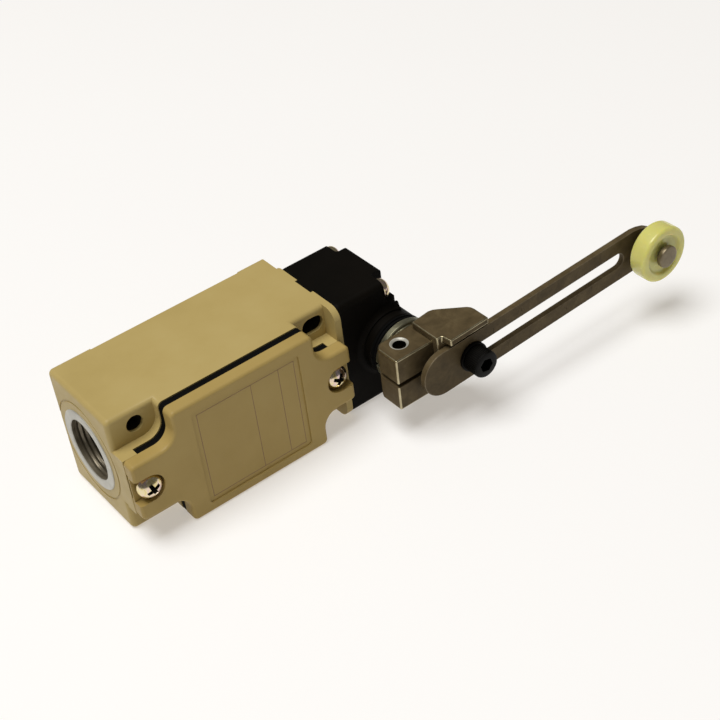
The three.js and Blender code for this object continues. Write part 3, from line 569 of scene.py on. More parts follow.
# Lighter steel for the clamp's and bracket's rounded edges: partly edge wear, partly painted highlight.
EDGE_WEAR_AND_HIGHLIGHT = steel("edge_wear_and_highlight_steel", "c8bd9e", "b4a98a", "978d70", gloss=(0.26, 0.38))
HUB_STEEL = steel("pale_steel", "a9a68e", "98957d", "7f7c66", grain=(1400, 1400, 60), gloss=(0.36, 0.5))
BLACK_STEEL = steel("black_oxide", "100e0b", "0a0907", "060504", gloss=(0.42, 0.56), metallic=0.4,
                    specular=0.12)
ZINC = iridescent_zinc("zinc_plate")
BARE_ALLOY = steel("bare_machined_alloy", "c4c2b8", "b8b6ac", "a5a399", grain=(1600, 120, 120),
                   gloss=(0.34, 0.48), metallic=0.35)
THREAD_METAL = steel("cut_thread", "8f8672", "7c7361", "655d4d", grain=(300, 900, 900), gloss=(0.3, 0.45),
                     metallic=0.5)
RIVET_STEEL = steel("rivet_steel", "867a63", "766a53", "635843", gloss=(0.28, 0.42), metallic=0.6)
# Painted shade: dark steel for the inside of the screws' cross recesses.
RECESS_SHADE = steel("screw_recess_shade", "2a2722", "1f1c18", "151310", gloss=(0.4, 0.55), metallic=0.5,
               specular=0.2)
BRIGHT = steel("bright_steel", "cfccc6", "b6b3ad", "9a9791", gloss=(0.2, 0.34))
SPRING = steel("spring_wire", "9a9894", "84827e", "6c6a67", gloss=(0.25, 0.4))
BRONZE = steel("sintered_bronze", "b98a4e", "a0733c", "7f5a2d", gloss=(0.35, 0.5))
BRASS = steel("rolled_brass", "d8b767", "c4a151", "a3833d", gloss=(0.24, 0.38))
SILVER = steel("contact_silver", "e2e1dc", "cfcec9", "b1b0ab", gloss=(0.2, 0.34))
NYLON = plastic("pale_nylon", "d7d381", "cfca74", gloss=(0.18, 0.28), subsurface=0.55)
PALE_RESIN = plastic("pale_resin", "d2cbb8", "c6beaa")
RED_RESIN = plastic("red_resin", "8a3224", "74281c")
GREEN = paint("green_paint", "3f7f4a", "34713f", "2a6034")
PRINT = paint("printed_rule", "87694c", "816347", "795c41")

SLOT_FINISH = {
    "beige_paint": BEIGE, "black_paint": BLACK_PAINT, "black_rubber": RUBBER, "bronzed_steel": BRONZED,
    "black_steel": BLACK_STEEL, "zinc_plate": ZINC, "bright_steel": BRIGHT, "hardened_steel": BRIGHT,
    "nylon": NYLON, "spring_steel": SPRING, "bronze": BRONZE, "brass": BRASS, "silver": SILVER,
    "pale_resin": PALE_RESIN, "red_resin": RED_RESIN, "green_paint": GREEN,
}
for part in frame["record"]["subparts"]:
    shown = frame["nodes"][part["node"]]
    shown.data.materials.clear()
    shown.data.materials.append(SLOT_FINISH[part["material_slot"]])


# ------------------------------------------------------------------ housing

def housing():
    """The painted casting, with its corner pockets, bores and cavity."""
    outline = rounded_rectangle(-HALF_WIDTH, HALF_WIDTH, CONDUIT_FACE, HEAD_END + 4, WIDE_CORNER)
    body = prism("y", outline, POCKET_FLOOR, 0)
    soften(body, CASTING_ROUND, 5, 60)
    # The flange covers this end, so the block's own rounding there is cut off.
    cut(body, block(HEAD_END - 1, HEAD_END + 6, -60, 10, -30, 30))
    rim = prism("y", waisted(CONDUIT_FACE, HEAD_END - 1, tip=0.9), PAINTED_RIM, POCKET_FLOOR + 2)
    lips = [block(low, high, LIP_FRONT, RIM_FRONT + 2, -NECK_HALF, NECK_HALF)
            for low, high in ((CONDUIT_FACE, CONDUIT_FACE + CONDUIT_LIP),
                              (HEAD_END - HEAD_LIP, HEAD_END - 0.5))]
    face = rounded_rectangle(LIP_FRONT, FLANGE_BACK, -HALF_WIDTH, HALF_WIDTH, FLANGE_CORNER)
    flange = prism("x", face, HEAD_END - FLANGE_DEPTH, HEAD_END)
    join(body, rim, *lips, flange)
    tools = [block(CAVITY_START, CAVITY_END, RIM_FRONT - 3, CAVITY_FLOOR, -CAVITY_HALF,
                   CAVITY_HALF, 1.2),
             rod("x", CONDUIT_AXIS, 0, CONDUIT_RADIUS + 1.1, CONDUIT_FACE - 2,
                 CAVITY_START + PAST, 96),
             block(WIDE_START - 1, HEAD_END - 10, -BACK_RELIEF, PAST, -HALF_WIDTH - PAST,
                   HALF_WIDTH + PAST),
             rod("x", PLUNGER_Y, 0, SPIGOT_RADIUS, HEAD_END - SPIGOT_DEPTH, HEAD_END + PAST),
             rod("x", PLUNGER_Y, 0, PLUNGER_BORE, CAVITY_END - PAST, HEAD_END)]
    for z in (-HOLE_ROW, HOLE_ROW):
        tools.append(rod("y", z, 0, HOLE_RADIUS, POCKET_FLOOR - PAST, PAST))
        slot = flipped(obround(SLOT_X - SLOT_EXTRA, SLOT_X + SLOT_EXTRA, z, HOLE_RADIUS))
        tools.append(prism("y", slot, POCKET_FLOOR - PAST, PAST))
        side = math.copysign(1, z)
        key_z = sorted((side * (KEY_START - KEY_GAP), side * (HALF_WIDTH + PAST)))
        tools.append(block(HEAD_END - KEY_DEPTH - KEY_GAP, HEAD_END + PAST, KEY_LOW - KEY_GAP,
                           KEY_HIGH + KEY_GAP, *key_z))
    for x in COVER_SCREW_X:
        tools.append(rod("y", 0, x, 2.05, LIP_FRONT - PAST, -28, 32))
    cut(body, *tools)
    # A shallow turned step runs round the conduit ring.
    groove = [(15.9, -PAST), (15.9, 0.22), (15.3, 0.22), (15.1, -PAST)]
    cut(body, turned(groove, (CONDUIT_FACE, CONDUIT_AXIS, 0), (1, 0, 0), 128))
    soften(body, EDGE_ROUND, 3, 40, sharp_y=(LIP_FRONT, PAINTED_RIM))
    shade_bores(body)
    return finish(body, "housing_casting", BEIGE, "housing", ["housing"],
                  second=BORE_PAINTED_SHADE)


def shade_bores(body):
    """Splits the walls of the mounting holes at a depth and paints shade on what lies behind it."""
    def crosses(face):
        depths = [vertex.co.y for vertex in face.verts]
        middle = face.calc_center_median()
        return (min(depths) < LIT_BORE < max(depths) and abs(face.normal.y) < 0.1
                and abs(abs(middle.z) - HOLE_ROW) < HOLE_RADIUS + 0.1
                and min(abs(middle.x), abs(middle.x - SLOT_X)) < 5)

    def in_shadow(polygon):
        x, y, z = polygon.center
        bore_x = min(max(x, SLOT_X - SLOT_EXTRA), SLOT_X + SLOT_EXTRA) if x > SLOT_X / 2 else 0
        inside = math.hypot(x - bore_x, abs(z) - HOLE_ROW) < HOLE_RADIUS + 0.02
        return inside and y > LIT_BORE and abs(polygon.normal.y) < 0.5

    bm = bmesh.new()
    bm.from_mesh(body.data)
    walls = [face for face in bm.faces if crosses(face)]
    edges = {edge for face in walls for edge in face.edges}
    corners = {vertex for face in walls for vertex in face.verts}
    bmesh.ops.bisect_plane(bm, geom=[*walls, *edges, *corners], plane_co=(0, LIT_BORE, 0),
                           plane_no=(0, 1, 0))
    bm.to_mesh(body.data)
    bm.free()
    second_slot(body, in_shadow)


def thread_insert():
    """Bare machined ring round the conduit entry, and the screw thread inside it."""
    pitch = 1.5
    depth = 0.4
    steps_round = 96
    face = CONDUIT_FACE - RING_RISE
    start = face + 0.9
    end = CAVITY_START - 0.4
    sleeve = CONDUIT_RADIUS + 1.15
    rows = [(RING_RADIUS - 0.2, face, 0), (CONDUIT_RADIUS + 0.2, face, 0),
            (CONDUIT_RADIUS, face + 0.25, 0)]
    rows_a_turn = 10
    count = int((end - start) / pitch * rows_a_turn)
    for i in range(count + 1):
        rows.append((CONDUIT_RADIUS, start + (end - start) * i / count, 1))
    rows += [(sleeve, end, 0), (sleeve, face + 2, 0), (RING_RADIUS, face + 2, 0),
             (RING_RADIUS, face + 0.2, 0)]
    bm = bmesh.new()
    rings = []
    for radius, x, threaded in rows:
        ring = []
        for j in range(steps_round):
            angle = 2 * math.pi * j / steps_round
            wave = abs(2 * (((x - start) / pitch - j / steps_round) % 1.0) - 1)
            fade = min(1.0, (x - start) / pitch, (end - x) / pitch)
            r = radius + threaded * depth * fade * wave
            ring.append(bm.verts.new((x, CONDUIT_AXIS + r * math.cos(angle), r * math.sin(angle))))
        rings.append(ring)
    for first, second in zip(rings, rings[1:] + rings[:1]):
        bridge(bm, first, second)

    def in_thread(polygon):
        x, y, z = polygon.center
        return math.hypot(y - CONDUIT_AXIS, z) < CONDUIT_RADIUS + depth + 0.1 and x > face + 0.3

    made = object_from(bm)
    second_slot(made, in_thread)
    return finish(made, "conduit_thread", BARE_ALLOY, "housing", smooth=30,
                  second=THREAD_METAL)


def gasket():
    """Black rubber between the rim and the cover, seen as a line round the middle."""
    gap = 0.1
    lap = 0.6
    outline = waisted(CONDUIT_FACE + CONDUIT_LIP + gap, HEAD_END - HEAD_LIP - gap, 0.12)
    body = prism("y", outline, COVER_BACK + 0.02, RIM_FRONT - 0.02)
    window = block(CAVITY_START + lap, CAVITY_END - lap, COVER_BACK - PAST, RIM_FRONT + PAST,
                   -CAVITY_HALF + lap, CAVITY_HALF - lap, 0.6)
    cut(body, window)
    soften(body, 0.12, 2)
    return finish(body, "cover_gasket_rubber", RUBBER, "housing", ["cover_gasket"])


def cover():
    """The waisted lid, with open screw notches, pry slots and a sunk label panel."""
    outline = waisted(CONDUIT_FACE + 0.1, HEAD_END - 1.1, tip=1.3)
    body = prism("y", outline, COVER_FRONT, COVER_BACK + 3)
    soften(body, COVER_ROUND, 5, 60)
    tools = [block(CONDUIT_FACE - 5, HEAD_END + 5, COVER_BACK, COVER_BACK + 5, -30, 30)]
    for x, outward in zip(COVER_SCREW_X, (-1, 1)):
        ends = sorted((x + outward * NOTCH_SHIFT, x + outward * 12))
        notch = flipped(obround(*ends, 0, NOTCH_RADIUS))
        tools.append(prism("y", notch, COVER_FRONT - PAST, NOTCH_FLOOR))
        tools.append(rod("y", 0, x, 2.3, COVER_FRONT - PAST, COVER_BACK + PAST, 32))
    # A pry slot at each end.
    for x in (CONDUIT_FACE, HEAD_END - 2.6):
        tools.append(block(x - 0.5, x + 1.8, COVER_BACK - 0.7, COVER_BACK + PAST, -3.4, 5.4))
    cut(body, *tools)
    soften(body, 0.2, 3, 40, sharp_y=(COVER_BACK,))
    x0, x1, z0, z1 = LABEL
    panel = rounded_rectangle(z0, z1, x0, x1, LABEL_CORNER)
    cut(body, prism("y", panel, COVER_FRONT - PAST, COVER_FRONT + LABEL_DEPTH))
    # The cover takes the shaded copy of the beige paint.
    return finish(body, "cover_plate", COVER_BEIGE_SHADED, "housing", ["cover"])


def label_rules():
    """Plain ruled lines printed on the label panel."""
    x0, x1, z0, z1 = LABEL
    left_line = x0 + 1.7
    right_line = x1 - 1.7
    lowest = z0 + 1.6
    highest = z1 - 1.6
    thickness = 0.03
    half = 0.09
    middle_y = COVER_FRONT + LABEL_DEPTH + 0.01 - thickness / 2
    bars = [(x, x, lowest, highest) for x in (left_line, x0 + 19.5, x1 - 7, right_line)]
    bars += [(left_line, right_line, z, z) for z in (lowest, highest)]
    bm = bmesh.new()
    for left, right_end, low, high in bars:
        size = Vector((right_end - left + 2 * half, thickness, high - low + 2 * half))
        middle = Vector(((left + right_end) / 2, middle_y, (low + high) / 2))
        bmesh.ops.create_cube(bm, size=1, matrix=Matrix.Translation(middle) @ Matrix.Diagonal((*size, 1)))
    return finish(object_from(bm), "label_rules", PRINT, "housing")


# ------------------------------------------------------------------ screws

def cross_recess(point, direction, reach, depth, turn):
    """One tapered cross, ready to be cut from a screw head as its driver recess."""
    along = Vector(direction).normalized()
    side = Matrix.Rotation(math.radians(turn), 3, along) @ along.orthogonal().normalized()
    other = along.cross(side)
    levels = ((-1.5, reach, 0.24), (0.0, reach, 0.24), (0.3 * depth, 0.82 * reach, 0.22),
              (0.75 * depth, 0.5 * reach, 0.18), (depth, 0.2 * reach, 0.1))
    outlines = []
    for level, arm, width in levels:
        half = reach * width
        quarter = [(arm, -half), (arm, half), (half * 1.15, half * 1.15)]
        outline = []
        for step in range(4):
            for a, b in quarter:
                for _ in range(step):
                    a, b = -b, a
                outline.append(Vector(point) + along * level + side * a + other * b)
        outlines.append(outline)
    return lofted(outlines)


def domed_screw(node, direction, head_radius, head_height, shank_radius, turn, seat):
    """Pan head screw with a cross recess, a rounded dome and a chamfered point."""
    low, high = box_mm(node)
    along = Vector(direction)
    shank_length = (high - low).dot(Vector([abs(value) for value in direction])) - head_height
    rim_share = 0.2
    dome_share = 0.8
    crown = []
    steps = 14
    for i in range(steps + 1):
        angle = math.radians(90 * i / steps)
        height = head_height * (rim_share + dome_share * math.cos(angle))
        crown.append((head_radius * math.sin(angle), -height))
    profile = crown + [(head_radius, -0.12), (head_radius - 0.12, 0), (shank_radius, 0),
                       (shank_radius, shank_length - 0.8), (shank_radius - 0.5, shank_length),
                       (0, shank_length)]
    body = turned(profile, seat, direction, 72)
    top = Vector(seat) - along * head_height
    cut(body, cross_recess(top, direction, head_radius * 0.62, head_height * 0.7, turn))

    def in_recess(polygon):
        offset = polygon.center - Vector(seat)
        level = -offset.dot(along)
        radius = (offset + along * level).length
        round_share = math.sqrt(max(0.0, 1 - (radius / head_radius) ** 2))
        dome = head_height * (rim_share + dome_share * round_share)
        return radius < head_radius * 0.65 and 0.1 < level < dome - 0.16

    # The faces inside the cross recess get the dark recess material as painted shade.
    second_slot(body, in_recess)
    return finish(body, f"{node}_fine", ZINC, "housing", [node], second=RECESS_SHADE)


# ------------------------------------------------------------------ head

HEAD_TOP = HEAD_HIGH.z
HEAD_BACK = -7.9
HEAD_FRONT = -36.6
HEAD_FLOOR = HEAD_END + 16.7          # floor of the corner notches that hold the screws
HEAD_FACE = HEAD_END + 20.7
HEAD_CORNER = 2.2
HEAD_ROUND = 1.1
HEAD_NOTCH_Y = (-14.2, -30.3)
HEAD_NOTCH_Z = 13.1
HEAD_SCREW_Y = (-10.6, -33.9)
HEAD_SCREW_Z = 16.4
BARREL_RADIUS = 9.7
BARREL_CHAMFER = 1.2
BARREL_BACK = -8.6
BARREL_FRONT = SEAL_HIGH.y


def head():
    """The black casting with the barrel round the shaft and a notch at each corner."""
    outline = rounded_rectangle(HEAD_FRONT, HEAD_BACK, -HEAD_TOP, HEAD_TOP, HEAD_CORNER)
    body = prism("x", outline, HEAD_END + 0.02, HEAD_FACE)
    soften(body, HEAD_ROUND, 4, 60)
    barrel_profile = [(0, BARREL_BACK), (BARREL_RADIUS - BARREL_CHAMFER, BARREL_BACK),
                      (BARREL_RADIUS, BARREL_BACK - BARREL_CHAMFER),
                      (BARREL_RADIUS, BARREL_FRONT + 0.5), (BARREL_RADIUS - 0.5, BARREL_FRONT),
                      (0, BARREL_FRONT)]
    barrel = turned(barrel_profile, (SHAFT_X, 0, 0), (0, 1, 0), 96)
    root_profile = [(0, 0.6), (12, 0.6), (12, 0), (11.2, -0.3), (10.6, -0.7), (10.2, -1.3),
                    (0, -1.3)]
    root = turned(root_profile, (SHAFT_X, HEAD_FRONT, 0), (0, 1, 0), 96)
    common(root, block(HEAD_END, HEAD_FACE + 0.6, HEAD_FRONT - 2, HEAD_FRONT + 1, -12.6, 12.6))
    keys = [block(HEAD_END - KEY_DEPTH, HEAD_END + 1, KEY_LOW, KEY_HIGH,
                  *sorted((side * KEY_START, side * HEAD_TOP)))
            for side in (-1, 1)]
    join(body, barrel, root, *keys)
    # The bush's bore, the round chamber, the cam's room and the plunger's bore.
    tools = [rod("y", 0, SHAFT_X, 6, BARREL_FRONT - PAST, -33, 48),
             rod("y", 0, SHAFT_X, 7.4, -33.6, -11.6, 48),
             block(HEAD_END + 2.5, SHAFT_X, -27, -15, -5.6, 5.6),
             rod("x", PLUNGER_Y, 0, PLUNGER_BORE, HEAD_END - 2, HEAD_END + 3.5, 32)]
    for side in (-1, 1):
        for inner, outer in zip(HEAD_NOTCH_Y, (HEAD_BACK + 3, HEAD_FRONT - 3)):
            tools.append(block(HEAD_FLOOR, HEAD_FACE + 3, *sorted((inner, outer)),
                               *sorted((side * HEAD_NOTCH_Z, side * 24)), 1.0))
    cut(body, *tools)
    soften(body, 0.35, 3, 40)
    return finish(body, "head_casting", BLACK_PAINT, "housing", ["head_housing"])


def dust_seal():
    """The rubber ring at the end of the barrel, with a shallow groove round it."""
    profile = [(3.2, 0), (9.7, 0), (9.85, -0.2), (9.85, -0.75), (9.45, -0.95), (9.45, -1.2),
               (9.8, -1.4), (9.75, -1.9), (9.3, -2.25), (3.2, -2.25)]
    body = turned(profile, (SHAFT_X, BARREL_FRONT, 0), (0, 1, 0), 96)
    return finish(body, "shaft_dust_seal_rubber", RUBBER, "housing", ["shaft_dust_seal"])


# ------------------------------------------------------------------ lever, in the lever's own frame

# X runs from the shaft axis along the arm. Y is the switch's own.
HUB_BACK = CLAMP_HIGH.y
CLAMP_FRONT = CLAMP_LOW.y
CLAMP_HALF = 9
CLAMP_END = -12
HUB_RADIUS = 10.2
HUB_NECK = 9.2
JAW_BACK = -46
SHAFT_BORE = 3.1
SPLIT_START = -13
SPLIT_HALF = 0.75
CLAMP_BOLT = (-6, -50.3)
CLAMP_BOLT_SEAT = -CLAMP_HALF + 3.2
BOLT_HOLE = 2.6
ARM_BACK = ARM_HIGH.y
ARM_FRONT = ARM_LOW.y
ARM_HALF = 7.4
SLOT_HALF = 2.65
ARM_BOLT_X = 11.7
SLOT_NEAR = 10.6
SLOT_FAR = 70.9
REACH = ((ROLLER_LOW + ROLLER_HIGH) / 2 - Vector((SHAFT_X, 0, 0))).xz.length
SHEET = 2.2
BRACKET_START = 1.5
BRACKET_END = 18


def lever_clamp():
    """The split block that grips the shaft."""
    outline = [(CLAMP_END, JAW_BACK - 2.3), (-11.6, JAW_BACK - 1.3), (-10.8, JAW_BACK - 0.5),
               (-9.8, JAW_BACK - 0.05), (12.5, JAW_BACK - 0.05), (16.6, -49.5),
               (16.6, CLAMP_FRONT), (CLAMP_END, CLAMP_FRONT)]
    jaw = prism("z", outline, -CLAMP_HALF, CLAMP_HALF)
    # The holes come after the softening, or they would leave it no room.
    soften(jaw, 0.45, 3, 40, mark=True)
    hub = rod("y", 0, 0, HUB_NECK, CLAMP_FRONT + 1, JAW_BACK + 0.3, 96)
    common(hub, block(-20, 20, CLAMP_FRONT, JAW_BACK + 1, -CLAMP_HALF, CLAMP_HALF))
    join(jaw, hub)
    arm_bolt_x = ARM_BOLT_X * math.cos(ARM_ANGLE)
    arm_bolt_z = ARM_BOLT_X * math.sin(ARM_ANGLE)
    cut(jaw,
        rod("y", 0, 0, SHAFT_BORE, CLAMP_FRONT + 1.2, HUB_BACK + PAST, 48),
        block(SPLIT_START, 0, CLAMP_FRONT - PAST, HUB_BACK + PAST, -SPLIT_HALF, SPLIT_HALF),
        rod("z", *CLAMP_BOLT, BOLT_HOLE, -12, 12, 48),
        rod("z", *CLAMP_BOLT, 4.5, -12, CLAMP_BOLT_SEAT + 0.2, 64),
        rod("y", arm_bolt_z, arm_bolt_x, BOLT_HOLE, CLAMP_FRONT - PAST, -47.6, 48))
    # The marked roundings take the lighter edge steel: edge wear with painted highlight.
    return finish(jaw, "lever_clamp_block", BRONZED, "lever", ["lever_clamp"],
                  ON_SHAFT, second=EDGE_WEAR_AND_HIGHLIGHT)


def clamp_hub():
    """Turned flange at the back of the clamp, left brighter than the block."""
    rim = HUB_RADIUS
    profile = [(SHAFT_BORE, HUB_BACK), (rim - 0.4, HUB_BACK), (rim, HUB_BACK - 0.4),
               (rim, JAW_BACK + 0.7), (rim - 0.4, JAW_BACK + 0.35), (HUB_NECK, JAW_BACK + 0.35),
               (HUB_NECK, JAW_BACK - 0.1), (SHAFT_BORE, JAW_BACK - 0.1)]
    body = turned(profile, (0, 0, 0), (0, 1, 0), 96)
    cut(body, block(SPLIT_START, 0, JAW_BACK - PAST, HUB_BACK + PAST, -SPLIT_HALF, SPLIT_HALF))
    soften(body, 0.12, 2, 40)
    return finish(body, "lever_clamp_hub", HUB_STEEL, "lever", place=ON_SHAFT)


def clamp_thread():
    """Bright countersink at the clamp's upper face, with the thread below it in black oxide as painted shade
    inside the hole.
    """
    profile = [(2.05, -0.5), (2.5, 0.02), (2.6, 0.06), (2.8, 0.05), (2.85, -0.05), (2.62, -0.5),
               (2.62, -2.2), (2.05, -2.2)]
    body = turned(profile, (*CLAMP_BOLT, CLAMP_HALF), (0, 0, 1), 64)

    def in_shaded_hole(polygon):
        x, y, z = polygon.center
        return math.hypot(x - CLAMP_BOLT[0], y - CLAMP_BOLT[1]) < 2.1 or z < CLAMP_HALF - 2

    # The faces inside the hole take the black oxide as painted shade.
    second_slot(body, in_shaded_hole)
    return finish(body, "clamp_bolt_countersink", BARE_ALLOY, "lever",
                  place=ON_SHAFT, second=BLACK_STEEL)


def socket_screw(node, seat, direction, head_height, shank_radius, shank_length, place):
    """Cap screw with a knurled head and a hexagon socket."""
    head_radius = 4.25
    socket = 4                        # across the hexagon's flats
    ribs = 96
    rib_depth = 0.16
    profile = [(0, -head_height), (head_radius - 0.55, -head_height),
               (head_radius - 0.2, -head_height + 0.15), (head_radius, -head_height + 0.5),
               (head_radius, -0.15), (head_radius - 0.15, 0), (shank_radius, 0),
               (shank_radius, shank_length - 0.7), (shank_radius - 0.4, shank_length),
               (0, shank_length)]
    body = turned(profile, seat, direction, ribs)
    along = Vector(direction)
    side = along.orthogonal().normalized()
    other = along.cross(side)
    for vertex in body.data.vertices:
        offset = vertex.co - Vector(seat)
        level = offset.dot(along)
        radial = offset - along * level
        if 0.4 - head_height < level < -0.1 and radial.length > head_radius - 0.05:
            angle = math.atan2(radial.dot(side), radial.dot(other))
            index = round(angle / (2 * math.pi) * ribs)
            vertex.co -= radial.normalized() * rib_depth * (index % 2)
    hexagons = []
    for share in (1.15, 0.42):
        centre = Vector(seat) - along * head_height * share
        hexagon = []
        for i in range(6):
            angle = math.pi * i / 3
            outward = side * math.cos(angle) + other * math.sin(angle)
            hexagon.append(centre + outward * socket / math.sqrt(3))
        hexagons.append(hexagon)
    cut(body, lofted(hexagons))
    return finish(body, f"{node}_fine", BLACK_STEEL, "lever", [node], place, smooth=28)


def arm_bracket():
    """A bent plate: a shelf over the clamp, and a leg between the clamp and the arm."""
    under = CLAMP_HALF + 0.1
    top = under + SHEET
    leg_front = ARM_BACK + 0.1
    leg_back = CLAMP_FRONT - 0.1
    outline = [(BRACKET_START, -47.6), (8, -47.2), (9.4, -47.6), (10.5, -48.4), (17.1, -54.1),
               (17.8, -55.2), (BRACKET_END, -56.4), (BRACKET_END, -62.5),
               (BRACKET_START + 2.2, -62.5), (BRACKET_START + 1.8, leg_front),
               (BRACKET_START, leg_front)]
    shelf = prism("z", outline, under, top)
    leg_outline = rounded_rectangle(leg_front, leg_back, -7.2, top, 1.2)
    leg = prism("x", leg_outline, BRACKET_START, BRACKET_END - 1.8)
    join(shelf, leg)
    cut(shelf, rod("y", 0, ARM_BOLT_X, 2.7, ARM_BACK - PAST, CLAMP_FRONT + PAST, 48))
    soften(shelf, 0.4, 3, 40, mark=True)
    # The marked roundings take the lighter edge steel: edge wear with painted highlight.
    return finish(shelf, "arm_bracket_plate", BRONZED, "lever", ["arm_bracket"],
                  ON_ARM, second=EDGE_WEAR_AND_HIGHLIGHT)


def lever_arm():
    """The slotted plate that carries the roller, narrowed towards its tip."""
    tip = REACH + 4.9
    upper = [(tip - 9.5, ARM_HALF), (tip - 6.8, 6.9), (tip - 4.0, 5.9), (tip - 1.2, 4), (tip, 2.4)]
    lower = [(x, -z) for x, z in reversed(upper)]
    outline = upper + lower + arc(1.2, 0, ARM_HALF, -90, -270, 40)
    plate = prism("y", flipped(outline), ARM_FRONT, ARM_BACK)
    slot = flipped(obround(SLOT_NEAR, SLOT_FAR, 0, SLOT_HALF))
    cut(plate, prism("y", slot, ARM_FRONT - PAST, ARM_BACK + PAST),
        rod("y", 0, REACH, 2.02, ARM_FRONT - PAST, ARM_BACK + PAST, 32))
    soften(plate, 0.2, 3, 50, mark=True)
    # Short setting marks are scribed across the front face, each a place and two ends.
    marks = ((20.4, 3.0, 4.9), (25.3, -4.9, -3.4), (31.6, 4.4, 5.6), (49.1, -5.9, -4.6),
             (59.7, -4.4, -3.0))
    half = 0.07
    ticks = [block(x - half, x + half, ARM_FRONT - 0.2, ARM_FRONT + 0.1, low, high)
             for x, low, high in marks]
    cut(plate, *ticks)
    # The marked roundings take the subtler edge steel: edge wear with painted highlight.
    return finish(plate, "lever_arm_plate", BRONZED, "arm", ["lever_arm"], ON_ARM,
                  second=ARM_EDGE_WEAR_AND_HIGHLIGHT)


def ring(inner, outer, x, low, high):
    """A flat ring whose outer edges have a small chamfer."""
    chamfer = 0.1
    profile = [(inner, high), (outer - chamfer, high), (outer, high - chamfer),
               (outer, low + chamfer), (outer - chamfer, low), (inner, low)]
    return turned(profile, (x, 0, 0), (0, 1, 0), 64)


def arm_washer():
    """The washer under the arm bolt."""
    body = ring(2.6, 4.7, ARM_BOLT_X, WASHER_LOW.y, WASHER_HIGH.y)
    return finish(body, "arm_washer_ring", BLACK_STEEL, "lever", ["arm_washer"], ON_ARM)


def roller_pin():
    """The riveted pin that the roller turns on."""
    front = PIN_LOW.y
    back = PIN_HIGH.y
    profile = [(0, back), (2.6, back), (2.9, back - 0.15), (3.0, back - 0.45), (2, back - 0.5),
               (2, front + 1.6), (3.6, front + 1.6), (3.6, front + 0.45), (3.5, front + 0.2),
               (3.2, front + 0.06), (2.6, front), (0, front)]
    body = turned(profile, (REACH, 0, 0), (0, 1, 0), 64)
    return finish(body, "roller_rivet", RIVET_STEEL, "arm", ["roller_pin"], ON_ARM)


def roller_spacer():
    """The short bush between the arm and the roller."""
    body = ring(2.1, 3.6, REACH, SPACER_LOW.y, SPACER_HIGH.y)
    return finish(body, "roller_spacer_bush", BRONZED, "arm", ["roller_spacer"],
                  ON_ARM)


def roller():
    """The nylon wheel, with rounded rims and a dished front."""
    back = ROLLER_HIGH.y
    front = ROLLER_LOW.y
    rim = (ROLLER_HIGH.z - ROLLER_LOW.z) / 2
    lip = 1.1
    step = 0.1                        # the tread starts this far in front of the hub

    def lip_point(centre_y, degrees):
        angle = math.radians(degrees)
        return rim - lip + lip * math.sin(angle), centre_y + lip * math.cos(angle)

    profile = [(2.1, back), (5.2, back), (5.6, back - step), (rim - 1.3, back - step)]
    profile += [lip_point(back - step - lip, degrees) for degrees in range(15, 91, 15)]
    profile += [lip_point(front + lip, degrees) for degrees in range(90, 181, 15)]
    profile += [(7.2, front), (6.8, front + 0.08), (6.5, front + 0.3), (6.2, front + 0.75),
                (5.9, front + 1.0), (5.4, front + 1.1), (2.1, front + 1.1)]
    body = turned(profile, (REACH, 0, 0), (0, 1, 0), 128)
    return finish(body, "roller_wheel", NYLON, "roller", ["roller"], ON_ARM)


housing()
thread_insert()
gasket()
cover()
label_rules()
for end, x, turn in zip(("conduit_end", "head_end"), COVER_SCREW_X, (25, -20)):
    node = f"cover_screw_{end}"
    seat = (x, box_mm(node)[0].y + COVER_SCREW_HEAD, 0)
    domed_screw(node, (0, 1, 0), 3.8, COVER_SCREW_HEAD, 2, turn, seat)
head()
for depth, y in zip(("back", "front"), HEAD_SCREW_Y):
    for level, z, turn in (("upper", HEAD_SCREW_Z, 10), ("lower", -HEAD_SCREW_Z, 50)):
        node = f"head_screw_{level}_{depth}"
        domed_screw(node, (-1, 0, 0), 3.2, 3, 1.75, turn, (HEAD_FLOOR, y, z))
dust_seal()
lever_clamp()
clamp_hub()
clamp_thread()
socket_screw("clamp_bolt", (*CLAMP_BOLT, CLAMP_BOLT_SEAT), (0, 0, 1), 4.6, 2.2, 9.0, ON_SHAFT)
arm_bracket()
lever_arm()
arm_washer()
socket_screw("arm_bolt", (ARM_BOLT_X, WASHER_LOW.y - 0.1, 0), (0, 1, 0), 5, 2.45, 12, ON_ARM)
roller_pin()
roller_spacer()
roller()


# ------------------------------------------------------------------ stage, light, camera

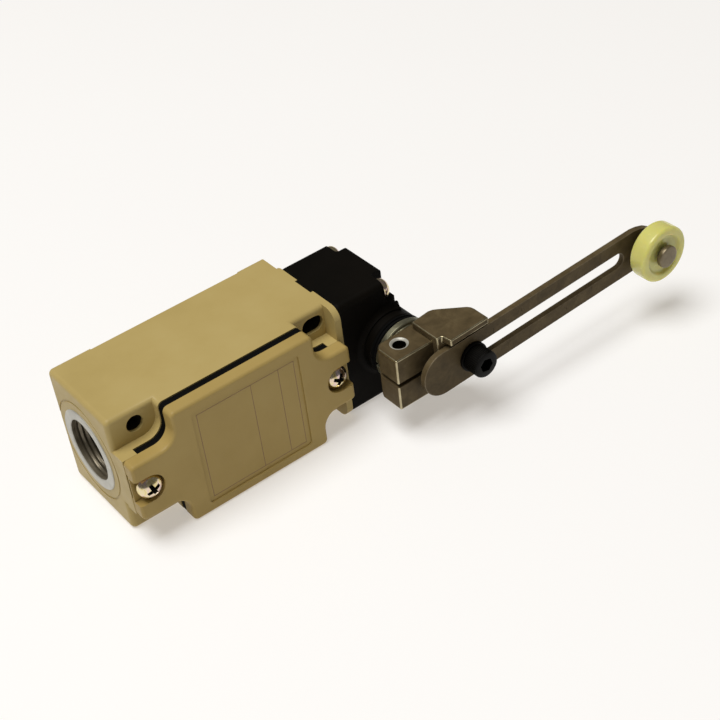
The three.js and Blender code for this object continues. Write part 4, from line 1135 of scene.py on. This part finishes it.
def floor():
    """A white table, far larger than the picture."""
    reach = 3000
    made = block(-reach, reach, -reach, reach, HOUSING_LOW.z - 20, HOUSING_LOW.z - 0.02)
    made.data.transform(Matrix.Scale(MM, 4))
    made.name = "floor"
    backing = Finish("white_table")
    cloud = backing.noise(3, 3)
    backing.colour(backing.ramp(cloud, (0.3, (0.53, 0.545, 0.57, 1)),
                                (0.7, (0.545, 0.56, 0.585, 1))))
    backing.set(Roughness=0.7, Emission_Color=(1.0, 0.935, 0.85, 1), Emission_Strength=0.43)
    made.data.materials.append(backing.material)


def area_light(name, place, target, size, power, colour):
    """A round lamp aimed at a point. Places are in metres and power is in watts."""
    data = bpy.data.lights.new(name, "AREA")
    data.shape = "DISK"
    data.size = size
    data.energy = power
    data.color = colour
    made = bpy.data.objects.new(name, data)
    scene.collection.objects.link(made)
    made.location = place
    made.rotation_euler = (Vector(target) - Vector(place)).to_track_quat("-Z", "Y").to_euler()


floor()
area_light("key", place=(-0.38, 0.06, 1.75), target=(0.07, -0.035, 0.0), size=1.2, power=33.6,
           colour=(1.0, 0.985, 0.955))

world = bpy.data.worlds.new("studio")
world.use_nodes = True
background = world.node_tree.nodes["Background"]
background.inputs["Color"].default_value = (1.0, 0.97, 0.93, 1)
background.inputs["Strength"].default_value = 0.12
scene.world = world
scene.view_settings.view_transform = "Standard"

# The camera looks down over the conduit end, rolled a little clockwise.
CAMERA_TARGET = Vector((0.07017, -0.03881, 0.0))
CAMERA_AZIMUTH = math.radians(-33.18)
CAMERA_ELEVATION = math.radians(38.81)
CAMERA_ROLL = math.radians(-7.62)
CAMERA_DISTANCE = 0.43724
CAMERA_LENS = 74.736

away = Vector((math.sin(CAMERA_AZIMUTH) * math.cos(CAMERA_ELEVATION),
               -math.cos(CAMERA_AZIMUTH) * math.cos(CAMERA_ELEVATION), math.sin(CAMERA_ELEVATION)))
level = Vector((math.cos(CAMERA_AZIMUTH), math.sin(CAMERA_AZIMUTH), 0))
rise = away.cross(level)
right = level * math.cos(CAMERA_ROLL) + rise * math.sin(CAMERA_ROLL)
up = rise * math.cos(CAMERA_ROLL) - level * math.sin(CAMERA_ROLL)
camera_data = bpy.data.cameras.new("camera")
camera_data.lens = CAMERA_LENS
camera_data.sensor_width = 36
camera_data.clip_start = 0.01
camera = bpy.data.objects.new("camera", camera_data)
scene.collection.objects.link(camera)
camera.matrix_world = Matrix.Translation(CAMERA_TARGET + away * CAMERA_DISTANCE) @ Matrix(
    (right, up, away)).transposed().to_4x4()
scene.camera = camera
